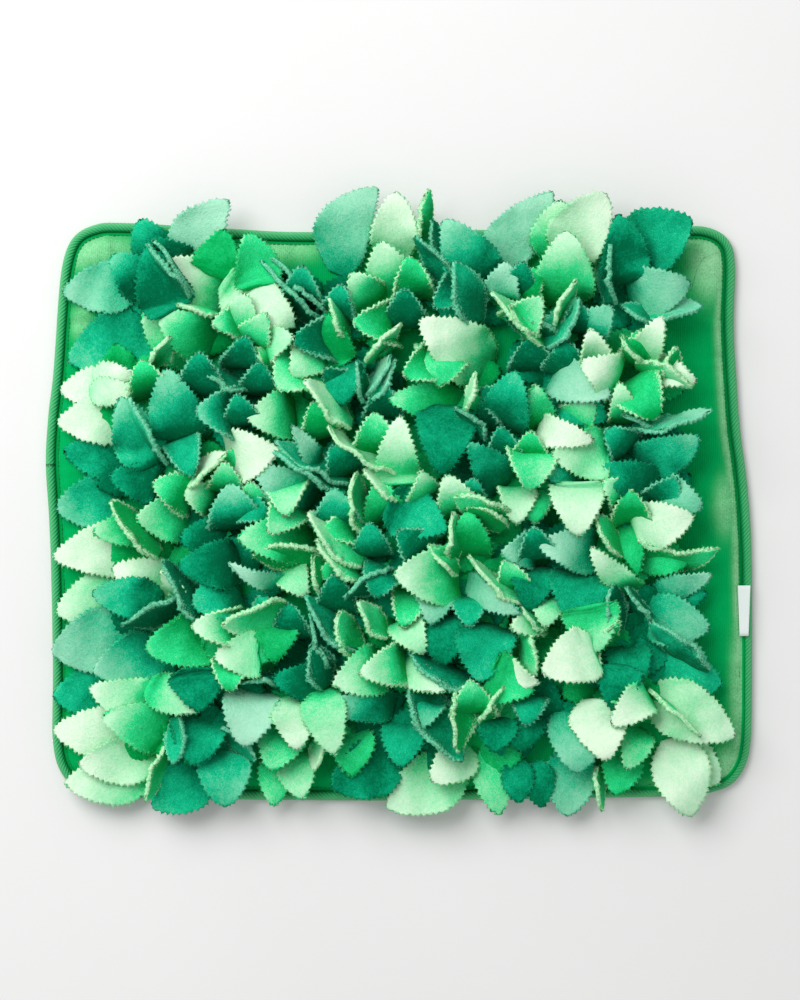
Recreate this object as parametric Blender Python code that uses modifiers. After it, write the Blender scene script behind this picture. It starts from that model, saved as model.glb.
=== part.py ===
"""Snuffle mat: a filled plush pad with a corded edge, covered in tufts of leaf-shaped fleece.

The mat lies flat on its underside, with the middle of that underside at the origin,
+Z up and its long side along X. Every leaf is one end of a strip of fleece that is
sewn down across its middle, and two strips that cross make one tuft of four leaves.
"""

import math

import bmesh
import bpy
from mathutils import Matrix, Vector

MM = 0.001

# Driving dimensions, in millimetres.
PLAN_SHIFT_Y = 10.0        # the sewing plan's own zero lies this far above the mat's middle
PIPING_RADIUS = 4.6
EDGE_TURN = 11.0           # the edge gets a point wherever it has turned this far, in degrees,
EDGE_RUN = 42.0            # or has run this far
SEAM_GAP = 0.35            # between the pad's edge, the piping and the label
PAD_EDGE_LOW = 2.6         # where the drawn-in underside meets the side wall
PAD_CROWN = 14.5
SEAT_GAP = 0.35            # under each tuft
FLEECE = 2.4               # thickness of the leaf cloth
STRIP_LAP = 0.6            # how far the upper strip of a tuft presses into the lower one
FOOT_HALF = 5.0            # half the length of strip that lies flat under the stitches
LEAF_LENGTH = 68.0
LEAF_HALF_WIDTH = 19.0
TUFT_RADIUS = 32.0         # plan radius of a tuft whose leaves all stand
WIDEST_SPREAD = 1.12       # most that a tuft with room to spare opens out
NEIGHBOUR_GAP = 1.2
SPIN_STEP = 37.0           # each tuft is turned this much further than the one before, in degrees
LABEL_LENGTH = 43.0
LABEL_THICKNESS = 0.9
LABEL_Y = -84.5
CURVE_STEPS = 16           # straight steps between two of the edge's points while it is measured

# Outer edge of the piping in the sewing plan, anticlockwise from the lower right: x, y.
EDGE_POINTS = (
    (300, -205), (301, -150), (301, -60), (299, -10), (295, 30), (291, 60), (288, 100),
    (285.5, 150), (286.5, 202), (280.5, 223), (262, 233.5), (232, 234), (160, 232), (60, 231),
    (-40, 229.5), (-100, 229.5), (-145, 232), (-235, 237), (-262, 235), (-280, 224),
    (-289, 200), (-293, 160), (-296.5, 110), (-301, 70), (-303, 32), (-300, -20), (-298, -80),
    (-297, -150), (-297, -205), (-290, -233), (-271, -250), (-240, -254.5), (-190, -255.5),
    (-110, -256.5), (0, -257), (150, -255), (210, -254), (250, -252.5), (279, -246), (294, -230),
)

# Top of the pad: distance in from its edge, height.
PAD_PROFILE = ((0, 6.6), (3, 9.6), (8, 12.2), (17, 14.0), (40, 14.3), (120, PAD_CROWN))

# Tufts in the sewing plan: x, y, cloth, and for a tuft at the border the direction
# (degrees from +X) and reach of the leaf that lies outwards, or None where all four stand.
TUFTS = (
    (-208, 188, "teal", (187, 78)),
    (-138, 165, "mint", None),
    (-72, 194, "teal", (60, 77)),
    (-6, 190, "mint", (92, 74)),
    (58, 196, "teal", (43, 80)),
    (122, 182, "mint", (54, 78)),
    (206, 192, "teal", (45, 64)),
    (-238, 112, "mint", (199, 58)),
    (-182, 92, "teal", None),
    (-98, 108, "mint", None),
    (-40, 110, "teal", None),
    (26, 118, "mint", None),
    (90, 98, "teal", None),
    (152, 126, "teal", None),
    (212, 118, "mint", (-18, 48)),
    (-256, 20, "teal", (200, 42)),
    (-138, 50, "mint", None),
    (-78, 38, "teal", None),
    (-18, 48, "mint", None),
    (44, 52, "teal", None),
    (106, 36, "mint", None),
    (162, 54, "mint", None),
    (224, 54, "teal", (22, 50)),
    (-196, 8, "mint", None),
    (-142, -10, "teal", None),
    (-30, -8, "mint", None),
    (22, -14, "teal", None),
    (76, -14, "mint", None),
    (170, -6, "mint", None),
    (230, -8, "teal", (0, 45)),
    (-238, -58, "mint", (172, 60)),
    (-174, -62, "teal", None),
    (-88, -40, "mint", None),
    (-8, -68, "teal", None),
    (50, -70, "mint", None),
    (122, -52, "teal", None),
    (202, -60, "mint", (10, 74)),
    (-240, -120, "teal", (195, 60)),
    (-166, -122, "mint", None),
    (-92, -104, "teal", None),
    (-32, -126, "mint", None),
    (52, -128, "teal", None),
    (124, -116, "mint", None),
    (214, -116, "teal", (3, 50)),
    (-236, -180, "mint", (193, 64)),
    (-156, -180, "teal", None),
    (-94, -208, "mint", (253, 55)),
    (-12, -184, "teal", None),
    (48, -186, "mint", None),
    (112, -198, "teal", (-66, 72)),
    (156, -158, "mint", None),
    (218, -168, "teal", (10, 60)),
    (-226, -230, "mint", (204, 64)),
    (-160, -230, "teal", (218, 58)),
    (-38, -232, "teal", (245, 40)),
    (24, -230, "mint", (228, 52)),
    (196, -216, "mint", (-44, 76)),
)

# Colours are linear RGB; then roughness.
CLOTHS = {
    "plush": ((0.010, 0.400, 0.100), 0.92),
    "piping": ((0.015, 0.300, 0.070), 0.85),
    "label": ((0.900, 0.900, 0.880), 0.70),
    "mint": ((0.420, 0.880, 0.500), 0.95),
    "teal": ((0.060, 0.420, 0.260), 0.95),
}


def clear_scene():
    """Remove whatever objects the scene starts with."""
    for obj in list(bpy.data.objects):
        bpy.data.objects.remove(obj, do_unlink=True)


def make_collection(name):
    """Return a new collection linked to the scene."""
    collection = bpy.data.collections.new(name)
    bpy.context.scene.collection.children.link(collection)
    return collection


def make_material(name):
    """Return a Principled material for one of the cloths."""
    colour, roughness = CLOTHS[name]
    material = bpy.data.materials.new(name)
    material.use_nodes = True
    shader = material.node_tree.nodes["Principled BSDF"]
    shader.inputs["Base Color"].default_value = (*colour, 1.0)
    shader.inputs["Roughness"].default_value = roughness
    shader.inputs["Metallic"].default_value = 0.0
    return material


def link_mesh(name, mesh, material, collection):
    """Make an object from a mesh and give it its cloth."""
    obj = bpy.data.objects.new(name, mesh)
    mesh.materials.append(material)
    collection.objects.link(obj)
    return obj


def smooth_loop(points):
    """Sample a closed Catmull-Rom curve, closely round the corners and sparsely on the sides."""
    corners = [Vector((x, y + PLAN_SHIFT_Y)) for x, y in points]
    count = len(corners)
    dense = []
    for i in range(count):
        a, b, c, d = (corners[(i + k) % count] for k in (-1, 0, 1, 2))
        for step in range(CURVE_STEPS):
            t = step / CURVE_STEPS
            dense.append(0.5 * (2 * b + (c - a) * t + (2 * a - 5 * b + 4 * c - d) * t * t
                                + (3 * b - a - 3 * c + d) * t ** 3))
    loop, turned, run = [dense[0]], 0.0, 0.0
    for before, here, after in zip(dense, dense[1:], dense[2:]):
        turned += abs(math.degrees((here - before).angle_signed(after - here)))
        run += (here - before).length
        if turned > EDGE_TURN or run > EDGE_RUN:
            loop.append(here)
            turned, run = 0.0, 0.0
    return loop


def inset_loop(loop, distance):
    """Move every point of an anticlockwise loop inwards along its own normal."""
    moved = []
    for i, point in enumerate(loop):
        before = (point - loop[i - 1]).normalized()
        after = (loop[(i + 1) % len(loop)] - point).normalized()
        along = (before + after).normalized()
        moved.append(point + Vector((-along.y, along.x)) * distance / along.dot(after))
    return moved


def shrink_loop(loop, distance):
    """Draw a loop towards its middle by the same distance on all four sides."""
    half_x = max(abs(p.x) for p in loop)
    half_y = max(abs(p.y) for p in loop)
    return [Vector((p.x * (1 - distance / half_x), p.y * (1 - distance / half_y))) for p in loop]


def build_piping(loop, material, collection):
    """Make the round cord that is sewn in all round the edge."""
    curve = bpy.data.curves.new("edge_piping", "CURVE")
    curve.dimensions = "3D"
    curve.bevel_depth = PIPING_RADIUS * MM
    curve.bevel_resolution = 2
    spline = curve.splines.new("POLY")
    spline.use_cyclic_u = True
    centre = inset_loop(loop, PIPING_RADIUS)
    spline.points.add(len(centre) - 1)
    for point, place in zip(spline.points, centre):
        point.co = (place.x * MM, place.y * MM, PIPING_RADIUS * MM, 1.0)
    spline.use_smooth = True
    curve.materials.append(material)
    obj = bpy.data.objects.new("edge_piping", curve)
    collection.objects.link(obj)


def build_pad(loop, material, collection):
    """Loft the filled pad: flat below, drawn in at the seam, crowned on top."""
    edge = inset_loop(loop, 2 * PIPING_RADIUS + SEAM_GAP)
    sections = [(shrink_loop(edge, 16), 0.0), (shrink_loop(edge, 4), 0.6), (edge, PAD_EDGE_LOW)]
    sections += [(shrink_loop(edge, depth), height) for depth, height in PAD_PROFILE]
    bm = bmesh.new()
    rings = [[bm.verts.new((p.x * MM, p.y * MM, z * MM)) for p in ring] for ring, z in sections]
    count = len(edge)
    for low, high in zip(rings, rings[1:]):
        for i in range(count):
            j = (i + 1) % count
            bm.faces.new((low[i], low[j], high[j], high[i]))
    bm.faces.new(list(reversed(rings[0])))
    bm.faces.new(rings[-1])
    mesh = bpy.data.meshes.new("mat_pad")
    bm.to_mesh(mesh)
    bm.free()
    mesh.shade_smooth()
    mesh.set_sharp_from_angle(angle=math.radians(50))
    link_mesh("mat_pad", mesh, material, collection)


def build_label(loop, material, collection):
    """Bend the blank side label over the piping, as an arc-shaped outline extruded along Y."""
    side = [p for p in inset_loop(loop, PIPING_RADIUS) if p.x > 0]
    centre_x = min(side, key=lambda p: abs(p.y - LABEL_Y)).x
    inner = PIPING_RADIUS + SEAM_GAP
    outer = inner + LABEL_THICKNESS
    angles = [math.radians(132 - 12 * step) for step in range(12)]
    outline = [(inner * math.cos(a), inner * math.sin(a)) for a in angles]
    outline += [(outer * math.cos(a), outer * math.sin(a)) for a in reversed(angles)]
    curve = bpy.data.curves.new("side_label", "CURVE")
    curve.dimensions = "2D"
    curve.fill_mode = "BOTH"
    curve.extrude = LABEL_LENGTH / 2 * MM
    spline = curve.splines.new("POLY")
    spline.use_cyclic_u = True
    spline.points.add(len(outline) - 1)
    for point, (x, y) in zip(spline.points, outline):
        point.co = (x * MM, y * MM, 0.0, 1.0)
    curve.materials.append(material)
    obj = bpy.data.objects.new("side_label", curve)
    obj.location = (centre_x * MM, LABEL_Y * MM, PIPING_RADIUS * MM)
    obj.rotation_euler = (math.radians(90), 0.0, 0.0)
    collection.objects.link(obj)


def arc_reach(length, start, end):
    """Return the plan reach and rise of an arc that turns evenly from start to end."""
    turn = end - start
    return (length * (math.sin(end) - math.sin(start)) / turn,
            length * (math.cos(start) - math.cos(end)) / turn)


def lying_leaf(reach):
    """Find the length and the two elevations of a leaf that lies out to a given reach."""
    length = max(LEAF_LENGTH, 1.04 * reach) - FOOT_HALF
    end = math.radians(-14)
    low, high = math.radians(8), math.radians(88)
    for _ in range(30):
        start = (low + high) / 2
        if arc_reach(length, start, end)[0] > reach - FOOT_HALF:
            low = start
        else:
            high = start
    return length, start, end, 1.0


def standing_leaf(spread):
    """Give the length and the two elevations of a leaf that stands, squeezed to its room."""
    return LEAF_LENGTH - FOOT_HALF, math.radians(44), math.radians(88), spread


# Outline of a leaf: share of the length beyond the foot, share of the full half width.
LEAF_OUTLINE = ((0.0, 0.26), (0.22, 0.55), (0.48, 1.0), (0.75, 0.78), (1.0, 0.0))


def leaf_row(leaf, share, side_share):
    """Place one edge point of a leaf: along its strip, across it and above its foot."""
    length, start, end, spread = leaf
    elevation = start + (end - start) * share
    reach, rise = arc_reach(length * share, start, elevation) if share > 0 else (0.0, 0.0)
    return (FOOT_HALF + reach) * spread, side_share * LEAF_HALF_WIDTH * spread, rise


def strip_mesh(name, first, second, azimuth, lift):
    """Bend a flat grid into one strip of fleece with a leaf at each end."""
    rows = len(LEAF_OUTLINE)
    bm = bmesh.new()
    bmesh.ops.create_grid(bm, x_segments=2 * rows - 1, y_segments=1, size=1.0)
    ranked = sorted(bm.verts, key=lambda v: (round(v.co.x, 4), v.co.y))
    for i, vert in enumerate(ranked):
        row, side = i // 2, 1 if i % 2 else -1
        step = rows - 1 - row if row < rows else row - rows
        leaf, way = (first, -1) if row < rows else (second, 1)
        along, across, rise = leaf_row(leaf, *LEAF_OUTLINE[step])
        vert.co = (way * along * MM, side * across * MM, (lift + rise) * MM)
    bmesh.ops.remove_doubles(bm, verts=bm.verts, dist=0.00005)
    turn = Matrix.Rotation(math.radians(azimuth), 3, "Z")
    bmesh.ops.rotate(bm, verts=bm.verts, cent=(0, 0, 0), matrix=turn)
    mesh = bpy.data.meshes.new(name)
    bm.to_mesh(mesh)
    bm.free()
    return mesh


def add_thickness(obj):
    """Give a strip the thickness of its fleece, on its upper side."""
    solidify = obj.modifiers.new("fleece", "SOLIDIFY")
    solidify.thickness = FLEECE * MM
    solidify.offset = 1.0
    solidify.use_even_offset = True


def build_tuft(index, entry, room, material, collection, cutters):
    """Make one tuft: a lower strip, and an upper strip across it, joined at the stitches."""
    x, y, _, lying = entry
    spread = min(WIDEST_SPREAD, room / TUFT_RADIUS)
    standing = standing_leaf(spread)
    azimuth = lying[0] if lying else SPIN_STEP * index
    outer = lying_leaf(lying[1]) if lying else standing
    name = f"tuft_{index + 1:02d}"
    place = Vector((x, y + PLAN_SHIFT_Y, PAD_CROWN + SEAT_GAP)) * MM
    lower_mesh = strip_mesh(name, standing, outer, azimuth, 0.0)
    upper_mesh = strip_mesh(name + "_upper", standing, standing, azimuth + 90, FLEECE - STRIP_LAP)
    lower = link_mesh(name, lower_mesh, material, collection)
    upper = link_mesh(name + "_upper", upper_mesh, material, cutters)
    for strip in (lower, upper):
        strip.location = place
        add_thickness(strip)
    upper.hide_render = True
    upper.display_type = "WIRE"
    union = lower.modifiers.new("sewn", "BOOLEAN")
    union.operation = "UNION"
    union.solver = "EXACT"
    union.object = upper


def rooms():
    """Work out the plan radius that each tuft has before it meets its nearest neighbour."""
    places = [Vector(entry[:2]) for entry in TUFTS]
    return [min((a - b).length for b in places if b is not a) / 2 - NEIGHBOUR_GAP / 2
            for a in places]


def main():
    """Build the mat."""
    clear_scene()
    collection = make_collection("snuffle_mat")
    cutters = make_collection("cutters")
    materials = {name: make_material(name) for name in CLOTHS}
    loop = smooth_loop(EDGE_POINTS)
    build_pad(loop, materials["plush"], collection)
    build_piping(loop, materials["piping"], collection)
    build_label(loop, materials["label"], collection)
    for index, (entry, room) in enumerate(zip(TUFTS, rooms())):
        build_tuft(index, entry, room, materials[entry[2]], collection, cutters)


main()
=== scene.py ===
"""Snuffle mat: a padded plush mat with a piped edge and rows of pinked fleece leaves.

Lengths in the tables are millimetres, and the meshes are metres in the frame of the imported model.
"""

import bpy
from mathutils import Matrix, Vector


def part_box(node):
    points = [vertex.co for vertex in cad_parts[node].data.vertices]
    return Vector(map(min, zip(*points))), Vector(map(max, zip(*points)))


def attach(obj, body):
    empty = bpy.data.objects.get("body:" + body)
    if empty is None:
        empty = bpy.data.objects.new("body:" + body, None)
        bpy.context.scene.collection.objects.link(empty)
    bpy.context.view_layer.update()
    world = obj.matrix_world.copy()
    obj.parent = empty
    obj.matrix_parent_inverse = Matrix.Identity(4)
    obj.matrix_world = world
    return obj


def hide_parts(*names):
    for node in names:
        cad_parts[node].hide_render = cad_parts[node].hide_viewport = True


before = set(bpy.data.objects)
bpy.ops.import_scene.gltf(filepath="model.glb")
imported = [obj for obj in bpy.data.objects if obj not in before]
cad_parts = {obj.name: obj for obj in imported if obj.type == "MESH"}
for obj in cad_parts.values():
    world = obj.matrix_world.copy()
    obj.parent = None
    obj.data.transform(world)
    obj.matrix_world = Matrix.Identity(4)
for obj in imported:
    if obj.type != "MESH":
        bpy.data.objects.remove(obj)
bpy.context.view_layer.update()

import logging
import math
from dataclasses import dataclass, field
from enum import Enum
from typing import Iterable, NamedTuple, Sequence

import bmesh
import bpy
import numpy as np

LOG = logging.getLogger("snuffle_mat")
MM = 0.001
ROOT = "root"
SHIFT_Y = 10.0  # from the plan of the leaf table to the frame of the mat
CAMERA_HEIGHT = 2400.0  # straight above the plan's origin
TINY = 1e-9  # the least length that a direction is divided by
SMOOTH_EVERY = 3.0  # how far a loop moves inwards for each time that it is smoothed
CURVE_POINTS = 61  # along the curve that a leaf bends to
ANY_PHASE = (0.0, 6.28)  # range that the phase of a ripple is drawn from

Array = np.ndarray
Rng = np.random.Generator
Span = tuple[float, float]
Colour = tuple[float, float, float]
Socket = bpy.types.NodeSocket


class Cloth(Enum):
    """The two fleeces that the leaves are cut from, by their slot names."""

    MINT = "fleece_mint"
    TEAL = "fleece_teal"


class Leaf(NamedTuple):
    """One half of a fleece strip, from the seam to its pointed tip, as it looks from above."""

    base_x: float
    base_y: float
    tip_x: float
    tip_y: float
    tip_z: float
    roll: float  # degrees; positive lifts the left side, looking from base to tip
    # partly the fleece's own frosted nap, partly painted light and shade: high where a leaf is lit,
    # low where it lies in shade
    tone: float  # percent; 0 deep, 100 pale
    size: float  # percent of the usual half width
    bow: float = 0.0  # percent of its length that its middle lies off the line, to the left

    @property
    def pale(self) -> float:
        """Its paleness, with painted light and shade, as a share from 0 to 1."""
        return self.tone / 100.0


class Tuft(NamedTuple):
    """The leaves that are sewn down at one place."""

    number: int
    cloth: Cloth
    rows: tuple[tuple[float, ...], ...]

    @property
    def name(self) -> str:
        """The name of its node."""
        return f"tuft_{self.number:02d}"

    def leaves(self) -> list[Leaf]:
        """The rows of the tuft by their named columns."""
        return [Leaf(*row) for row in self.rows]


# base x, base y, tip x, tip y, tip z, roll, tone with painted light and shade, size, and the bow of
# some
TUFTS: tuple[Tuft, ...] = (
    Tuft(1, Cloth.TEAL, (
        (-222, 185, -289, 178, 16, 0, 80, 100), (-205, 152, -284, 118, 15, 0, 45, 122),
        (-214, 176, -247, 210, 38, 10, 44, 88), (-172, 190, -147, 257, 32, -10, 100, 108, 16),
        (-205, 203, -224, 240, 24, 0, 30, 95), (-194, 158, -217, 217, 56, 0, 10, 105),
        (-182, 174, -217, 220, 60, -78, 40, 90), (-178, 178, -212, 223, 57, -80, 30, 85),
        (-180, 196, -212, 222, 40, 0, 5, 80),
    )),
    Tuft(2, Cloth.MINT, (
        (-158, 190, -150, 232, 44, 0, 15, 95), (-145, 172, -199, 205, 42, 0, 95, 100),
        (-154, 158, -191, 167, 50, 80, 80, 60), (-158, 130, -207, 158, 46, 0, 60, 95),
        (-145, 150, -161, 150, 60, 0, 50, 80), (-120, 180, -131, 229, 52, 10, 45, 95),
        (-148, 188, -90, 148, 50, 0, 90, 105), (-137, 142, -133, 177, 58, 0, 70, 95),
        (-122, 140, -114, 160, 62, 0, 60, 80), (-106, 134, -91, 140, 62, 0, 60, 85),
        (-170, 118, -220, 161, 32, -20, 70, 90),
    )),
    Tuft(3, Cloth.TEAL, (
        (-68, 152, -119, 206, 48, -72, 60, 95), (-63, 156, -113, 210, 45, -75, 50, 90),
        (-84, 178, -84, 201, 60, 0, 40, 90), (-52, 193, -20, 268, 28, 0, 88, 106, 14),
        (-52, 165, -50, 185, 58, 0, 30, 80), (-70, 136, -92, 136, 60, 0, 10, 95),
    )),
    Tuft(4, Cloth.MINT, (
        (-6, 205, -3, 264, 30, 0, 100, 90), (-4, 168, -17, 222, 50, 0, 80, 100),
        (-20, 165, -43, 194, 52, 0, 70, 90), (-44, 140, -60, 174, 55, 70, 80, 80),
        (-58, 112, -61, 160, 52, 0, 15, 90), (-14, 150, -40, 152, 60, 0, 40, 95),
        (-27, 118, 1, 151, 56, 75, 100, 80), (20, 218, 25, 266, 38, 58, 70, 52),
        (12, 172, 8, 209, 50, 0, 30, 85),
    )),
    Tuft(5, Cloth.TEAL, (
        (4, 150, 4, 181, 56, 0, 10, 95), (38, 200, 27, 240, 42, 60, 10, 60),
        (48, 176, 13, 226, 52, -50, 25, 55), (68, 172, 37, 240, 54, 0, 62, 112, -6),
        (66, 152, 47, 204, 62, 40, 52, 92), (52, 182, 29, 165, 56, 0, 20, 80),
        (70, 192, 131, 264, 28, 0, 92, 97), (100, 176, 106, 204, 50, 0, 20, 85),
        (84, 172, 92, 204, 48, 0, 90, 80),
    )),
    Tuft(6, Cloth.MINT, (
        (128, 205, 138, 257, 32, 0, 80, 95), (138, 208, 177, 262, 36, 0, 100, 115),
        (138, 166, 143, 231, 52, 0, 75, 115), (132, 148, 150, 189, 58, 70, 90, 70),
        (102, 150, 122, 174, 61, 0, 58, 88), (124, 132, 78, 178, 54, 62, 80, 66),
        (120, 142, 95, 167, 62, 62, 75, 50), (98, 172, 122, 197, 48, 0, 12, 85),
    )),
    Tuft(7, Cloth.TEAL, (
        (190, 184, 187, 245, 48, 10, 20, 95), (182, 168, 180, 228, 46, -75, 40, 90),
        (196, 212, 250, 240, 40, 0, 38, 125), (196, 176, 249, 186, 46, 10, 85, 98),
        (206, 158, 259, 166, 42, -38, 60, 60), (222, 152, 190, 167, 46, 60, 50, 70),
    )),
    Tuft(8, Cloth.MINT, (
        (-240, 98, -291, 94, 16, 0, 100, 85), (-222, 72, -293, 66, 18, 0, 100, 98),
        (-262, 108, -226, 106, 34, 0, 100, 55), (-264, 92, -225, 93, 38, 0, 95, 60),
        (-212, 92, -222, 120, 52, 0, 30, 95), (-212, 114, -197, 140, 48, 60, 90, 80),
    )),
    Tuft(9, Cloth.TEAL, (
        (-186, 50, -200, 113, 50, 0, 60, 105), (-168, 88, -172, 127, 56, 0, 10, 100),
        (-130, 97, -174, 114, 48, 70, 30, 85), (-150, 74, -175, 76, 58, 0, 50, 110),
        (-134, 118, -132, 141, 54, 0, 10, 85), (-120, 95, -120, 119, 54, 0, 10, 85),
        (-134, 70, -140, 91, 56, 0, 20, 85),
    )),
    Tuft(10, Cloth.MINT, (
        (-80, 118, -105, 95, 58, 0, 45, 125), (-74, 124, -92, 105, 56, 0, 70, 95),
        (-108, 112, -124, 130, 50, 40, 80, 70), (-90, 74, -131, 70, 50, 0, 75, 98),
        (-42, 64, -82, 102, 62, 62, 95, 85), (-66, 56, -74, 85, 50, 0, 10, 85),
    )),
    Tuft(11, Cloth.TEAL, (
        (-54, 120, -50, 81, 50, 0, 10, 112), (-48, 96, -66, 112, 50, 0, 5, 80),
        (-30, 85, -37, 119, 58, 70, 30, 68), (-32, 90, -9, 124, 52, -70, 80, 80),
        (-29, 84, -4, 120, 49, -70, 70, 80), (-14, 72, -16, 101, 50, 0, 30, 85),
    )),
    Tuft(12, Cloth.MINT, (
        (22, 114, 3, 106, 58, 0, 25, 90), (38, 134, 34, 97, 52, 0, 40, 110),
        (76, 112, 17, 154, 56, 0, 100, 115), (56, 82, -10, 87, 48, 0, 45, 78),
        (55, 74, 65, 109, 60, -74, 85, 50),
    )),
    Tuft(13, Cloth.TEAL, (
        (84, 58, 99, 111, 56, 0, 35, 100), (92, 80, 68, 94, 46, 0, 10, 80),
        (112, 112, 112, 139, 46, 0, 5, 105), (140, 112, 142, 137, 46, 0, 5, 100),
        (136, 134, 90, 158, 48, -62, 20, 80),
    )),
    Tuft(14, Cloth.TEAL, (
        (124, 133, 153, 173, 54, -50, 45, 85), (158, 142, 182, 166, 52, 0, 65, 80),
        (150, 146, 152, 171, 50, 0, 20, 80), (130, 106, 181, 89, 52, 0, 90, 84),
        (132, 92, 177, 68, 44, 0, 20, 88),
    )),
    Tuft(15, Cloth.MINT, (
        (208, 120, 189, 140, 52, 60, 60, 70), (206, 124, 225, 157, 54, 0, 95, 62),
        (200, 120, 206, 146, 46, 0, 10, 75), (228, 104, 236, 131, 50, 50, 50, 65),
        (218, 112, 254, 101, 46, 0, 95, 62), (202, 116, 250, 97, 50, 68, 90, 70),
        (196, 100, 220, 69, 52, 0, 10, 108), (166, 118, 163, 147, 54, 0, 95, 72),
        (180, 104, 155, 118, 60, 0, 100, 95), (190, 68, 188, 101, 52, 0, 75, 60),
    )),
    Tuft(16, Cloth.TEAL, (
        (-232, 32, -288, 43, 16, 0, 20, 85), (-238, 2, -294, -8, 15, 0, 60, 105),
        (-205, 12, -249, 21, 44, 0, 15, 80), (-212, 28, -240, 88, 48, 0, 60, 98),
        (-200, 31, -232, 87, 54, -78, 60, 80), (-186, 50, -178, 20, 50, 0, 25, 75),
    )),
    Tuft(17, Cloth.MINT, (
        (-148, 20, -140, 44, 40, 0, 30, 80), (-150, 35, -104, 42, 54, 0, 100, 105),
        (-148, 12, -150, 33, 52, 0, 60, 80), (-184, 13, -149, 41, 50, -60, 90, 80),
        (-124, -10, -128, 16, 50, 0, 50, 85),
    )),
    Tuft(18, Cloth.TEAL, (
        (-72, 19, -93, 64, 56, 25, 95, 46), (-46, 9, -111, 46, 53, 60, 60, 95),
        (-44, 15, -106, 51, 50, 66, 60, 90), (-76, -6, -124, 29, 52, 0, 80, 88),
        (-46, 24, -58, 47, 50, 0, 20, 95), (-54, -16, -56, 10, 56, 0, 50, 100),
    )),
    Tuft(19, Cloth.MINT, (
        (-4, 24, -62, 63, 58, 76, 95, 72), (4, 14, 0, 72, 58, 0, 85, 84, 6),
        (0, 2, -31, 25, 52, 60, 90, 80), (14, 2, 17, 25, 56, 30, 80, 80),
        (-20, 40, -22, 75, 52, 0, 45, 98),
    )),
    Tuft(20, Cloth.TEAL, (
        (40, 80, 36, 22, 56, 0, 8, 112), (72, 51, 47, 79, 56, -60, 40, 55),
        (92, 10, 59, 48, 56, 0, 52, 80), (88, 34, 86, 63, 48, 0, 20, 85),
        (60, 4, 64, 19, 50, 0, 40, 80),
    )),
    Tuft(21, Cloth.MINT, (
        (118, 60, 116, 99, 50, 0, 55, 72), (110, 38, 112, 59, 50, 0, 30, 90),
        (112, 38, 112, 8, 54, 0, 50, 105), (100, 10, 100, -21, 46, 0, 80, 80),
        (114, 8, 116, -21, 42, 0, 30, 80),
    )),
    Tuft(22, Cloth.MINT, (
        (118, 60, 166, 50, 55, 0, 100, 60), (176, 40, 130, 38, 50, 0, 80, 100),
        (146, 66, 168, 82, 48, 0, 60, 85),
    )),
    Tuft(23, Cloth.TEAL, (
        (200, 62, 267, 77, 46, -58, 70, 48, -9), (198, 32, 256, 54, 46, 30, 60, 92),
        (216, 8, 173, 29, 48, 0, 15, 82), (192, 44, 176, 61, 52, 0, 30, 85),
        (222, 62, 190, 73, 46, 70, 50, 52),
    )),
    Tuft(24, Cloth.MINT, (
        (-176, 4, -212, 15, 54, 0, 40, 90), (-174, -14, -226, -16, 42, 0, 70, 100),
        (-160, 0, -186, 8, 44, 0, 80, 80),
    )),
    Tuft(25, Cloth.TEAL, (
        (-138, -24, -146, 14, 52, 0, 60, 110), (-145, -34, -189, -32, 44, 0, 10, 95),
        (-132, -4, -112, -14, 50, 0, 20, 80),
    )),
    Tuft(26, Cloth.MINT, (
        (-28, -28, -38, 23, 54, 60, 80, 90), (-10, -22, -19, 17, 48, 0, 40, 90),
    )),
    Tuft(27, Cloth.TEAL, (
        (-10, -2, 40, -26, 54, 0, 28, 105), (22, -46, -2, -26, 54, 0, 10, 95),
        (-24, -46, -26, -19, 50, 0, 30, 85),
    )),
    Tuft(28, Cloth.MINT, (
        (50, -6, 39, 21, 56, 0, 80, 85), (93, -17, 46, 3, 54, -55, 70, 80),
        (90, -25, 57, -6, 50, -55, 25, 80), (46, -50, 45, -11, 52, 60, 90, 80),
        (60, -48, 58, -9, 46, 0, 30, 85),
    )),
    Tuft(29, Cloth.MINT, (
        (150, 14, 152, -31, 56, 0, 88, 105), (186, 6, 174, 17, 52, 0, 70, 75),
        (196, -18, 196, 9, 48, 0, 30, 90), (190, -46, 168, -14, 52, 60, 45, 85),
        (192, -18, 204, -66, 42, 0, 15, 48), (205, -76, 164, -40, 57, -30, 92, 55),
    )),
    Tuft(30, Cloth.TEAL, (
        (212, 8, 259, -6, 44, 0, 70, 88), (218, -4, 237, 19, 46, 0, 30, 90),
    )),
    Tuft(31, Cloth.MINT, (
        (-214, -22, -263, -28, 38, 0, 60, 72), (-206, -48, -248, -1, 48, 62, 15, 85),
        (-200, -42, -297, -49, 22, 0, 100, 112, -4), (-188, -74, -247, -58, 30, 0, 95, 80),
        (-236, -76, -294, -97, 16, 0, 85, 98), (-184, -85, -205, -61, 48, -60, 100, 75),
    )),
    Tuft(32, Cloth.TEAL, (
        (-136, -54, -190, -57, 52, 0, 15, 95), (-138, -76, -178, -90, 50, 0, 35, 110),
        (-165, -106, -204, -52, 50, 62, 15, 85), (-94, -66, -147, -54, 54, -12, 100, 36, 6),
    )),
    Tuft(33, Cloth.MINT, (
        (-96, 8, -98, -14, 60, 0, 50, 92), (-92, -4, -112, -29, 60, 0, 55, 85),
        (-72, -34, -139, -33, 50, 5, 52, 98), (-66, -52, -126, -47, 50, -50, 30, 85),
        (-98, -56, -80, -82, 44, 0, 60, 78), (-32, -54, -78, -11, 56, 48, 85, 85),
        (-32, -68, -72, -34, 54, 66, 85, 80), (-46, -22, -65, -26, 50, 0, 40, 90),
        (-66, -78, -74, -47, 52, 55, 25, 80), (-50, -62, -69, -60, 48, 0, 30, 85),
    )),
    Tuft(34, Cloth.TEAL, (
        (-4, -63, -48, -84, 50, -60, 60, 80), (-54, -98, -56, -63, 50, 0, 20, 90),
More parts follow.
